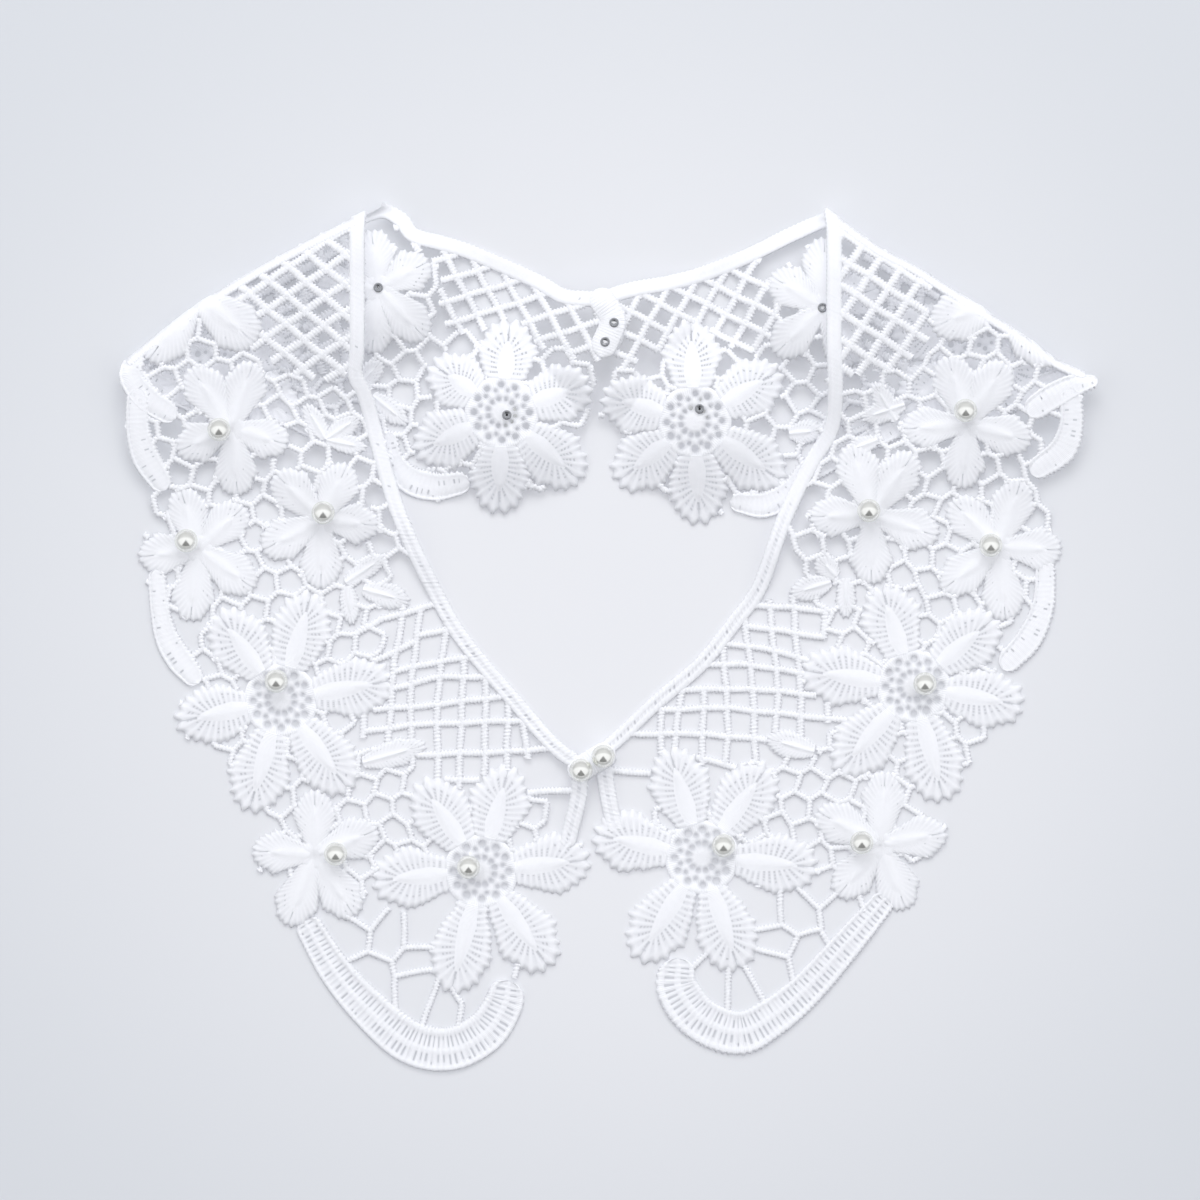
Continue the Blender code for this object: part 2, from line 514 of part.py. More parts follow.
def thin_loop(loop, tolerance):
    """Thin a closed outline, then split edges too long to follow the cloth's height."""
    points = np.array(loop)
    far = int(np.argmax(np.hypot(*(points - points[0]).T)))
    half = thin_line(points[:far + 1], tolerance)[:-1]
    rest = thin_line(np.vstack([points[far:], points[:1]]), tolerance)[:-1]
    corners = half + rest
    result = []
    for a, b in zip(corners, corners[1:] + corners[:1]):
        parts = max(1, math.ceil(math.dist(a, b) / LONGEST_EDGE))
        dx, dy = (b[0] - a[0]) / parts, (b[1] - a[1]) / parts
        result += [(a[0] + dx * k, a[1] + dy * k) for k in range(parts)]
    return result


def motifs(piece):
    """Stroke stations of every stitched motif of a piece, and points on its raised middle lines."""
    strokes, ridges, rings = [], [], []
    for name, x, y, kind, angles, reaches, _, _ in FLOWERS:
        if name != piece:
            continue
        hub = HUB_RADIUS[kind]
        rings.append([(x, y, hub), (x, y, hub)])
        for angle, reach in zip(angles, reaches):
            stations = petal_stations(kind, x, y, angle, reach)
            strokes.append(stations)
            ridges += [(sx, sy) for sx, sy, r in stations[2:]]
    for name, rows in CRESCENTS:
        if name == piece:
            strokes.append([(x, y, width / 2) for x, y, width in rows])
    for name, x0, y0, x1, y1, width in LEAVES:
        if name == piece:
            strokes.append(leaf_stations(x0, y0, x1, y1, width))
    for name, width, line in BANDS:
        if name == piece:
            strokes.append([(x, y, width / 2) for x, y in line])
    return strokes + rings, ridges


def piece_field(piece):
    """The outline field of one strip with its lattice and its brides."""
    field = Field(-172, -150, 172, 154) if piece.startswith("front") else Field(-172, 30, 172, 154)
    strokes, ridges = motifs(piece)
    for stations in strokes:
        field.add(stations)
    for name, *ends in FRONT_BARS:
        if name == piece:
            field.add(bar_stations(*ends, BAR_WIDTH))
    for name, cx, cy, first, second, spacing, region in LATTICES:
        if name == piece:
            limit = region_distance(field.x, field.y, region)
            for ends in lattice_bars(cx, cy, (first, second), spacing, region):
                field.add(bar_stations(*ends, BAR_WIDTH), limit)
    for name, spacing, turn, region in NETS:
        if name == piece:
            for ends in net_brides(spacing, turn, region, field.at):
                field.add(bar_stations(*ends, BRIDE_WIDTH))
    from_fold, _ = inward(piece, field.x, field.y)
    field.value = np.maximum(field.value, -from_fold)
    if piece.startswith("back"):
        edge, _ = line_distance(field.x, field.y, BACK_EDGES[side_of(piece)])
        hidden = edge if side_of(piece) == "left" else -edge
        beside = np.abs(field.x) > HIDDEN_FROM
        field.value = np.where(beside, np.maximum(field.value, hidden), field.value)
    return field, ridges


def back_height(piece, x, y):
    """Height of a back strip's underside, lifted by the pearls beneath it."""
    lift = PEARL_DIAMETER + SEAM
    spots = [f[6:8] for f in FLOWERS if f[0].startswith("back") and f[6] is not None] + list(BACK_PAIR)
    height = np.zeros(np.shape(x))
    for px, py in spots:
        height = np.maximum(height, lift * smooth_fall(np.hypot(x - px, y - py), *BEAD_REACH))
    if piece == "back_left":
        height = height + TAB_LIFT * smooth_fall(np.hypot(x - BACK_TAB[0], y - BACK_TAB[1]), *TAB_REACH)
    return height


def front_height(piece, x, y):
    """Height of a front strip's underside, over the back strip and up to the shoulder fold."""
    side = side_of(piece)
    distance, share = inward(piece, x, y)
    crest = (CREST_OUTER + (CREST_NECK - CREST_OUTER) * share) * smooth_fall(distance, *CREST_REACH)
    edge, _ = line_distance(x, y, BACK_EDGES[side])
    beyond = np.maximum(edge if side == "left" else -edge, 0.0)
    over_back = OVER_BACK_LIFT * smooth_fall(beyond, *OVER_BACK_REACH)
    px, py = SHOULDER_BEAD[side]
    over_bead = OVER_BEAD_LIFT * smooth_fall(np.hypot(x - px, y - py), *OVER_BEAD_REACH)
    height = (crest ** 4 + over_back ** 4 + over_bead ** 4) ** 0.25
    if piece == "front_left":
        height = height + TAB_LIFT * smooth_fall(np.hypot(x - FRONT_TAB[0], y - FRONT_TAB[1]), *TAB_REACH)
    return height


def fold_radius(piece, x, y):
    """Outer radius of the fold beside each point, shared by the front and back strips."""
    side = side_of(piece)
    top = front_height("front_" + side, x, y) + WALL
    bottom = back_height("back_" + side, x, y)
    return (top - bottom - SEAM) / 2


def fold_lines(piece, distances):
    """Lines beside the fold where the cloth needs points to turn round."""
    line = FOLDS[side_of(piece)]
    turn = 1 if side_of(piece) == "left" else -1
    lines = []
    for distance in distances:
        points = []
        for k, (x, y) in enumerate(line):
            (ax, ay), (bx, by) = line[max(0, k - 1)], line[min(len(line) - 1, k + 1)]
            length = math.dist((ax, ay), (bx, by)) * turn
            points.append((x + (by - ay) / length * distance, y - (bx - ax) / length * distance))
        lines.append(points)
    return lines


def plan(piece):
    """Triangles of a piece seen from above, with the points of its raised lines marked."""
    field, ridges = piece_field(piece)
    loops = field.loops()
    outer = max(loops, key=loop_area)
    holes = sorted((l for l in loops if loop_area(l) < -SMALLEST_GAP), key=loop_area)
    starts = np.array([h[0] for h in holes])
    within = region_distance(starts[:, 0], starts[:, 1], [tuple(p) for p in outer]) < 0
    holes = [h for h, w in zip(holes, within) if w][:GAPS_CUT[piece]]
    points, faces = [], []
    for outline in [outer] + [hole[::-1] for hole in holes]:
        start = len(points)
        points += thin_loop(outline, OUTLINE_TOLERANCE)
        faces.append(list(range(start, len(points))))
    edges = []
    for line in fold_lines(piece, FOLD_GUIDE):
        start = len(points)
        points += line
        edges += [(start + k, start + k + 1) for k in range(len(line) - 1)]
    marked = {}
    extra = [(p, "ridge") for p in ridges] + [(p, "bead") for p in bead_points(piece)]
    spots = np.array([p for p, _ in extra])
    from_fold, _ = inward(piece, spots[:, 0], spots[:, 1])
    within = (field.at(spots[:, 0], spots[:, 1]) < -EDGE_CLEARANCE) & (from_fold > EDGE_CLEARANCE)
    for (spot, kind), inside in zip(extra, within):
        if inside:
            marked[len(points)] = kind
            points.append(spot)
    verts, _, tris, origins, _, face_origins = delaunay_2d_cdt(
        [Vector(p) for p in points], edges, faces, 0, 1e-4, True)
    kept = [list(t) for t, o in zip(tris, face_origins) if set(o) == {0}]
    kinds = {}
    for index, sources in enumerate(origins):
        for source in sources:
            if source in marked:
                kinds[index] = marked[source]
    used = sorted({i for t in kept for i in t})
    index = {old: new for new, old in enumerate(used)}
    xy = np.array([verts[i][:] for i in used])
    kept = [[index[i] for i in t] for t in kept]
    return xy, kept, {index[i]: k for i, k in kinds.items() if i in index}


def bead_points(piece):
    """Points under each pearl and round it, so the cloth is flat where a pearl meets it."""
    if piece.startswith("front"):
        spots = [f[6:8] for f in FLOWERS if f[0] == piece and f[6] is not None]
        spots += list(FRONT_PAIR) if piece == "front_left" else []
        ring = 0
    else:
        spots = [f[6:8] for f in FLOWERS if f[0] == piece and f[6] is not None] + list(BACK_PAIR)
        ring = 6
    points = []
    for x, y in spots:
        points.append((x, y))
        turns = [math.tau * k / ring for k in range(ring)]
        points += [(x + BEAD_RING * math.cos(turn), y + BEAD_RING * math.sin(turn)) for turn in turns]
    return points


def lay(piece, xy, kinds):
    """Under and upper points of a piece, turned round at the shoulder fold."""
    x, y = xy.T
    front = piece.startswith("front")
    height = (front_height if front else back_height)(piece, x, y)
    distance, _ = inward(piece, x, y)
    distance = np.maximum(distance, 0.0)
    step = 0.01
    gx = (inward(piece, x + step, y)[0] - inward(piece, x - step, y)[0]) / (2 * step)
    gy = (inward(piece, x, y + step)[0] - inward(piece, x, y - step)[0]) / (2 * step)
    size = np.maximum(np.hypot(gx, gy), 1e-6)
    gx, gy = gx / size, gy / size
    radius = fold_radius(piece, x - gx * distance, y - gy * distance)
    cos = np.clip(1 - distance / radius, 0.0, 1.0)
    sin = np.sqrt(1 - cos * cos)
    turn = radius * (1 - sin)
    relief = np.array([RELIEF if kinds.get(i) == "ridge" else 0.0 for i in range(len(x))])
    inner_x, inner_y = x + gx * cos * WALL, y + gy * cos * WALL
    if front:
        upper = np.stack([x, y, height + WALL - turn + relief], axis=1)
        under = np.stack([inner_x, inner_y, height + WALL - turn - sin * WALL], axis=1)
    else:
        under = np.stack([x, y, height + turn], axis=1)
        upper = np.stack([inner_x, inner_y, height + turn + sin * WALL + relief * sin], axis=1)
    return under, upper


def material(name):
    mat = bpy.data.materials.new(name)
    mat.use_nodes = True
    shader = mat.node_tree.nodes["Principled BSDF"]
    shader.inputs["Base Color"].default_value = (*COLOURS[name], 1.0)
    shader.inputs["Roughness"].default_value = {"lace": 0.85, "pearl": 0.22, "silver": 0.3}[name]
    shader.inputs["Metallic"].default_value = 1.0 if name == "silver" else 0.0
    return mat


def finished(name, mesh, mat):
    """One named object from a mesh in place, shaded smooth but for its real edges."""
    mesh.materials.append(mat)
    mesh.shade_smooth()
    mesh.set_sharp_from_angle(angle=math.radians(SHARP_EDGE))
    obj = bpy.data.objects.new(name, mesh)
    bpy.context.collection.objects.link(obj)


def placed(x, y, z):
    """A move to a spot of the plan, in metres."""
    return Matrix.Translation(Vector((x + SHIFT_X, y + SHIFT_Y, z)) * MM)


def lace(piece, mat):
    """A strip of lace: an under sheet, an upper sheet and the walls of its edge and its gaps."""
    xy, tris, kinds = plan(piece)
    under, upper = lay(piece, xy, kinds)
    count = len(xy)
    faces = [[a, c, b] for a, b, c in tris] + [[a + count, b + count, c + count] for a, b, c in tris]
    edges = {(t[k], t[(k + 1) % 3]) for t in tris for k in range(3)}
    for a, b in sorted(edges):
        if (b, a) not in edges:
            faces += [[a, b, b + count], [a, b + count, a + count]]
    points = np.vstack([under, upper])
    mesh = bpy.data.meshes.new("lace_" + piece)
    mesh.from_pydata([placed(*point).translation for point in points], [], faces)
    mesh.validate()
    finished("lace_" + piece, mesh, mat)
    return points, faces


def surface_heights(sheet, x, y, radius):
    """Offsets from a spot and the cloth's height at each, looked up in the finished sheet."""
    points, faces = sheet
    tree = BVHTree.FromPolygons([tuple(p) for p in points], faces)
    found = []
    for part in (0.0, 0.2, 0.4, 0.6, 0.8, 1.0):
        for k in range(1 if part == 0 else 16):
            dx, dy = (radius * part * f(math.tau * k / 16) for f in (math.cos, math.sin))
            hit, _, _, _ = tree.ray_cast(Vector((x + dx, y + dy, ABOVE)), Vector((0, 0, -1)))
            if hit:
                found.append((math.hypot(dx, dy), hit.z))
    return found


def pearl(name, x, y, z, mat):
    """A round pearl about the given centre."""
    ball = bmesh.new()
    bmesh.ops.create_uvsphere(ball, u_segments=12, v_segments=6, radius=PEARL_DIAMETER / 2 * MM,
                              matrix=placed(x, y, z))
    mesh = bpy.data.meshes.new(name)
    ball.to_mesh(mesh)
    ball.free()
    finished(name, mesh, mat)


def seated_pearl(name, x, y, sheet, mat):
    """A pearl on the upper side of a sheet, a seam's width clear of it."""
    reach = PEARL_DIAMETER / 2 + SEAM
    z = max(height + math.sqrt(max(reach ** 2 - away ** 2, 0.0))
            for away, height in surface_heights(sheet, x, y, reach))
    pearl(name, x, y, z, mat)


def rivet(name, x, y, sheet, mat):
    """The end of a rivet, a disc with a rounded rim and a hollow, on the upper side of a sheet."""
    z = max(height for _, height in surface_heights(sheet, x, y, RIVET_RADIUS)) + SEAM
    disc = bmesh.new()
    bmesh.ops.create_cone(disc, cap_ends=True, segments=12, radius1=RIVET_RADIUS * MM,
                          radius2=RIVET_RADIUS * MM, depth=RIVET_HEIGHT * MM,
                          matrix=placed(x, y, z + RIVET_HEIGHT / 2))
    top = max(disc.faces, key=lambda face: face.calc_center_median().z)
    bmesh.ops.bevel(disc, geom=list(top.edges), offset=RIVET_ROUNDING * MM, segments=1, affect="EDGES")
    top = max(disc.faces, key=lambda face: face.calc_center_median().z)
    bmesh.ops.inset_individual(disc, faces=[top], thickness=RIVET_ROUNDING * MM)
    bmesh.ops.inset_individual(disc, faces=[top], thickness=RIVET_ROUNDING / 2 * MM)
    bmesh.ops.translate(disc, verts=list(top.verts), vec=(0, 0, -RIVET_ROUNDING * MM))
    mesh = bpy.data.meshes.new(name)
    disc.to_mesh(mesh)
    disc.free()
    finished(name, mesh, mat)


def build():
    for obj in list(bpy.data.objects):
        bpy.data.objects.remove(obj, do_unlink=True)
    mats = {name: material(name) for name in COLOURS}
    sheets = {piece: lace(piece, mats["lace"]) for piece in PIECES}
    counts = {}
    for piece, _, _, kind, _, _, bx, by in FLOWERS:
        if bx is None:
            continue
        counts[piece] = counts.get(piece, 0) + 1
        label = piece + "_" + str(counts[piece])
        if piece.startswith("front"):
            seated_pearl("pearl_" + label, bx, by, sheets[piece], mats["pearl"])
        else:
            pearl("pearl_" + label, bx, by, PEARL_DIAMETER / 2, mats["pearl"])
            rivet("rivet_" + label, bx, by, sheets[piece], mats["silver"])
    for k, (x, y) in enumerate(FRONT_PAIR, 1):
        seated_pearl("pearl_front_middle_" + str(k), x, y, sheets["front_left"], mats["pearl"])
    for k, (x, y) in enumerate(BACK_PAIR, 1):
        pearl("pearl_back_middle_" + str(k), x, y, PEARL_DIAMETER / 2, mats["pearl"])
    for k, (x, y) in enumerate(BACK_RIVETS, 1):
        rivet("rivet_back_middle_" + str(k), x, y, sheets["back_left"], mats["silver"])


build()
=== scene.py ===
"""Lace collar laid flat: the looks of its stitched lace, its pearls and its rivets.

Lengths in the tables are millimetres. Each strip is planned flat as seen from above, stitched
motif by motif, and then laid at the height of what it rests on and turned round at the shoulder.
"""

import math

import bmesh
import bpy
import numpy as np
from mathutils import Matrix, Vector


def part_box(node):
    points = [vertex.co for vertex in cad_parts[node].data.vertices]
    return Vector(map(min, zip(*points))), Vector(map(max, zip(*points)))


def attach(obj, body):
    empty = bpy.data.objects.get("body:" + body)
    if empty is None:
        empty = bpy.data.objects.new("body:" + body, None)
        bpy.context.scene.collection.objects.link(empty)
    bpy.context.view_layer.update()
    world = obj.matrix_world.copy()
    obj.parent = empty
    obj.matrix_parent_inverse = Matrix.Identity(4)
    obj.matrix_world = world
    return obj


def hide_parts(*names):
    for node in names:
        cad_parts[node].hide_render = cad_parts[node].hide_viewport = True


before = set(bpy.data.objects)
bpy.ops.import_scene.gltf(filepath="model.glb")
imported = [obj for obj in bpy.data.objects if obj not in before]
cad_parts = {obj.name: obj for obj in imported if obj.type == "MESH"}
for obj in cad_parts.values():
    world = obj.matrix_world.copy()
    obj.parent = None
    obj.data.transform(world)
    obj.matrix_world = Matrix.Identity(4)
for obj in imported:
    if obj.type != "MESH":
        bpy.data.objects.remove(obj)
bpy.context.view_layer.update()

MM = 0.001
rng = np.random.default_rng(1395)

# Sizes shared with the solids
WALL = 1.4
SEAM = 0.3
BAND_WIDTH = 5.2
BAR_WIDTH = 2.2
BRIDE_WIDTH = 1.9
PICOT_PITCH = 1.18
TAB_RADIUS = 4.4
PEARL_DIAMETER = 7.8
RIVET_RADIUS = 1.6
CREST_OUTER = 7.0
CREST_NECK = 12.0
SHIFT_X = -0.15
SHIFT_Y = -0.45
CREST_REACH = (4.0, 62.0)
BEAD_REACH = (6.5, 38.0)
TAB_REACH = (9.0, 30.0)
OVER_BACK_REACH = (4.0, 30.0)
OVER_BEAD_REACH = (10.0, 60.0)
OVER_BACK_LIFT = 3.4
OVER_BEAD_LIFT = 12.0
TAB_LIFT = WALL + 2 * SEAM
BLEND = 1.2
NET_JITTER = 0.9
FAR = 1e6

PETAL_WIDTH = {"big": 20.3, "small": 14.8, "fold": 18.0, "leaf": 1.0}
PETAL_PROFILES = {
    "big": ((0.24, 0.21), (0.42, 0.36), (0.60, 0.47), (0.71, 0.50)),
    "small": ((0.10, 0.20), (0.34, 0.33), (0.56, 0.46), (0.68, 0.50)),
    "fold": ((0.10, 0.20), (0.34, 0.36), (0.56, 0.46), (0.66, 0.50)),
}
PETAL_TIP = 0.40
HUB_RADIUS = {"big": 12.0, "small": 4.6, "fold": 5.0}
# Spacing of a petal's ribs and the half width of its smooth spine
RIB_PITCH = {"big": 2.8, "small": 1.9, "fold": 1.9, "leaf": 1.5}
SPINE_HALF = {"big": 2.9, "small": 2.0, "fold": 2.3, "leaf": 0.8}
# Spine's half width along it, then how often each row of pin holes is open, from spine to edge
SPINE_FORM = ((0.0, 0.3, 0.6, 0.85, 1.0), (0.60, 1.0, 0.82, 0.45, 0.10))
PIN_HOLES = {"big": (0.9, 1.0, 1.0, 0.6), "small": (0.12, 0.35), "fold": (0.2, 0.3), "leaf": (0.4, 0.9)}
# How the ribs run from the spine to the edge: share of the way, height, ribs' lift, shade in the grooves
RIB_FORMS = {
    "big": ((0.0, 1.46, 0.0, 0.0), (0.045, 1.43, 0.04, 0.38), (0.125, 1.42, 0.05, 0.38),
            (0.185, 1.40, 0.05, 0.34), (0.265, 1.39, 0.06, 0.34), (0.325, 1.37, 0.06, 0.34),
            (0.405, 1.35, 0.07, 0.34), (0.49, 1.31, 0.08, 0.30), (0.57, 1.29, 0.09, 0.30),
            (0.75, 1.18, 0.12, 0.14), (1.0, 0.75, 0.15, 0.40), (1.02, 0.08, 0.0, 0.30)),
    "small": ((0.0, 1.46, 0.0, 0.0), (0.25, 1.43, 0.01, 0.05), (0.31, 1.42, 0.01, 0.10),
              (0.52, 1.36, 0.03, 0.16), (0.60, 1.34, 0.06, 0.22), (0.80, 1.20, 0.13, 0.26),
              (1.0, 0.75, 0.15, 0.38), (1.02, 0.08, 0.0, 0.30)),
}

# Flowers: piece, hub x, hub y, kind, petal directions in degrees, petal reaches, bead x, bead y
FLOWERS = (
    ("front_left", -42.3, -77.7, "big", (124, 75, 6, -55, -104, 185),
     (36.0, 35.7, 36.5, 39.3, 41.3, 36.4), -46.4, -76.2),
    ("front_left", -109.0, -20.7, "big", (74, 126, 192, 254, -53, 10),
     (37.4, 36.5, 35.4, 38.5, 37.6, 37.9), -110.4, -14.3),
    ("front_left", -97.7, -72.3, "small", (90, 22, -57, 249, 176),
     (21.7, 22.7, 24.6, 25.3, 20.7), -90.6, -71.8),
    ("front_left", -136.3, 29.7, "small", (107, 43, -36, 263, 188),
     (20.9, 21.0, 22.7, 24.5, 20.2), -140.3, 32.4),
    ("front_left", -95.3, 39.3, "small", (65, -6, -91, 207, 135),
     (20.6, 19.1, 23.0, 22.5, 22.2), -94.7, 41.7),
    ("front_left", -125.3, 70.0, "small", (124, 71, -17, -85, 204),
     (24.0, 22.9, 19.8, 23.0, 19.7), -129.2, 69.3),
    ("front_left", -136.7, 114.3, "fold", (234, -40), (27.5, 26.0), None, None),
    ("front_right", 31.3, -73.0, "big", (168, 107, 54, -5, -72, 238),
     (37.1, 38.0, 37.7, 38.8, 39.8, 40.0), 38.4, -69.0),
    ("front_right", 101.7, -16.0, "big", (108, 40, -10, -75, 229, 172),
     (35.4, 35.5, 37.3, 39.6, 37.8, 37.3), 105.4, -15.2),
    ("front_right", 90.7, -69.0, "small", (86, 11, -68, 230, 152),
     (24.7, 22.4, 23.3, 22.2, 23.9), 84.4, -68.0),
    ("front_right", 130.3, 30.3, "small", (136, 72, -3, -85, 217),
     (22.6, 23.5, 21.0, 25.0, 23.8), 127.3, 30.9),
    ("front_right", 87.7, 40.7, "small", (106, 56, -17, -90, 181),
     (25.0, 25.0, 23.4, 23.0, 20.7), 86.7, 42.4),
    ("front_right", 119.3, 71.0, "small", (106, 58, -15, -94, 184),
     (23.6, 24.2, 22.5, 21.4, 21.7), 118.7, 75.6),
    ("front_right", 131.7, 113.7, "fold", (204, -54), (26.7, 28.0), None, None),
    ("back_left", -35.3, 75.0, "big", (85, 18, -41, -92, 205, 145),
     (30.8, 30.9, 34.7, 33.0, 32.0, 28.8), -33.6, 74.1),
    ("back_left", -76.3, 116.3, "small", (28, -47, -96, 97, 180),
     (19.2, 23.0, 22.3, 19.7, 20.3), -76.3, 116.4),
    ("back_left", -128.7, 90.0, "big", (80, 25, -35, 140, 200, 255),
     (26.0, 30.0, 30.0, 22.0, 22.0, 22.0), None, None),
    ("back_right", 28.7, 72.0, "big", (92, 164, 218, -87, -34, 31),
     (33.7, 31.9, 32.5, 33.7, 35.5, 33.5), 30.4, 76.1),
    ("back_right", 71.3, 109.7, "small", (148, 224, 88, 20, -60),
     (20.5, 22.2, 23.7, 20.0, 22.0), 71.2, 109.7),
    ("back_right", 122.3, 93.3, "big", (100, 155, 215, 40, -20, -80),
     (26.0, 30.0, 30.0, 22.0, 22.0, 22.0), None, None),
)

# Edge crescents: piece, then x, y, width along the middle line
CRESCENTS = (
    ("front_left", ((-100, -95.7, 9), (-91, -110.7, 11), (-79.3, -124, 13), (-66, -134.7, 14.5),
                    (-52.7, -137, 14.5), (-41, -131.3, 14), (-35, -122.3, 13), (-33.7, -116.7, 11.5))),
    ("front_left", ((-150.3, 20, 6), (-149.3, 9.3, 6.5), (-147, 0, 8), (-142.7, -7.3, 9),
                    (-138.7, -12.3, 7.5))),
    ("front_left", ((-156.3, 79.3, 7.5), (-156.3, 69.3, 8), (-153.7, 60, 9.3), (-149.3, 52.7, 8))),
    ("front_left", ((-157.7, 92.3, 7.5), (-158.5, 86.7, 8), (-153.7, 80, 9), (-147, 75.3, 8))),
    ("front_right", ((91.7, -88, 8), (80, -101.7, 10), (66, -117.3, 11.5), (54, -127, 13),
                     (43.3, -131.7, 14.5), (30.7, -127, 14.5), (23.3, -117.3, 14), (23, -109.3, 11.5))),
    ("front_right", ((145.7, 22.7, 6.5), (145, 11, 7.5), (140.7, 0.3, 8.7), (134, -7.3, 8))),
    ("front_right", ((153.7, 79.3, 7.5), (154, 71, 8), (151.3, 62.7, 9.3), (144, 57, 8))),
    ("front_right", ((160.3, 85.3, 5), (154.7, 83.8, 8), (147.3, 80, 9), (142.7, 77, 8.5))),
    ("back_left", ((-72.7, 66, 5), (-71, 58.7, 6.5), (-66, 52.7, 9.5), (-57.7, 50.3, 9.5), (-50, 51.3, 8))),
    ("back_right", ((44, 45, 7), (52.3, 44.3, 8.7), (60.7, 48.7, 8), (65.7, 56, 6))),
    ("back_left", ((-156, 88, 6), (-142.7, 81, 8), (-126, 76, 9), (-109.3, 75, 8), (-90, 66, 7),
                   (-74, 60, 6))),
    ("back_right", ((152, 88, 6), (140, 82, 8), (124, 76, 9), (107, 75, 8), (88, 66, 7), (66, 54, 6))),
)

# Leaves: piece, base x, base y, tip x, tip y, width
LEAVES = (
    ("front_left", -87.7, 18.3, -74.0, 27.3, 6.7),
    ("front_left", -82.0, 16.3, -66.0, 12.0, 8.7),
    ("front_left", -87.0, 17.7, -85.3, 4.0, 6.7),
    ("front_left", -82.0, -41.7, -61.0, -35.7, 9.5),
    ("front_left", -94.0, 66.0, -82.0, 74.0, 7.0),
    ("front_left", -94.0, 66.0, -101.0, 78.0, 7.0),
    ("front_left", -94.0, 66.0, -80.0, 63.0, 6.5),
    ("front_right", 76.3, 20.3, 69.5, 27.2, 7.5),
    ("front_right", 74.6, 18.7, 60.6, 14.4, 8.7),
    ("front_right", 79.3, 20.3, 79.3, 6.7, 6.7),
    ("front_right", 69.0, -38.0, 52.3, -33.3, 9.5),
    ("front_right", 99.0, 77.7, 84.0, 72.7, 7.5),
    ("front_right", 96.0, 72.0, 88.0, 85.0, 7.0),
    ("front_right", 90.0, 66.0, 79.0, 62.0, 6.5),
    ("back_left", -84.3, 82.7, -75.0, 92.7, 7.5),
    ("back_left", -78.7, 81.0, -66.7, 71.0, 7.5),
    ("back_right", 60.0, 68.0, 72.3, 69.3, 8.0),
)

# Neck edge bands and the ladder edges at centre front: piece, width, then x, y along the middle
BANDS = (
    ("front_left", BAND_WIDTH, ((-83.3, 142.5), (-83.3, 99.3), (-84, 87.7), (-80.3, 78.7), (-74.3, 56),
                                (-68.3, 37.7), (-57.7, 15.3), (-48.3, -0.7), (-31.3, -21), (-18.7, -35.3),
                                (-11, -41.3))),
    ("front_right", BAND_WIDTH, ((75, 143), (75, 102.7), (75, 72.7), (67.3, 57.7), (58.3, 38.7),
                                 (50.7, 17.3), (42.3, 5.3), (30.7, -9), (16.7, -21), (4, -33), (-2, -38))),
    ("back_left", BAND_WIDTH, ((-86, 138), (-80.7, 141), (-74.7, 142.3), (-68.7, 139), (-64.7, 134),
                               (-55, 131.3), (-44.7, 128), (-24.3, 119), (-15, 113.7), (-7.3, 112.7),
                               (-1.2, 112))),
    ("back_right", BAND_WIDTH, ((-4, 112), (7.7, 115.7), (21.3, 118.3), (34.7, 122.3), (48.3, 128),
                                (62, 134.7), (72.5, 139.2), (76, 138.7))),
    ("front_left", 5.6, ((-9.3, -46), (-10, -54), (-13.3, -67.3))),
    ("front_right", 5.6, ((-1.3, -44), (0, -52.3), (2, -62.3))),
    ("front_left", 2 * TAB_RADIUS, ((-9.2, -43.8), (-1.8, -39.2))),
    ("front_right", 2 * TAB_RADIUS, ((-7, -42.6), (-1.6, -39.5))),
    ("back_left", 2 * TAB_RADIUS, ((-2.0, 112.0), (1.6, 105.5), (-1.2, 97.5))),
    ("back_right", 2 * TAB_RADIUS, ((-1.0, 111.0), (1.8, 105.5), (0.6, 100.0))),
)

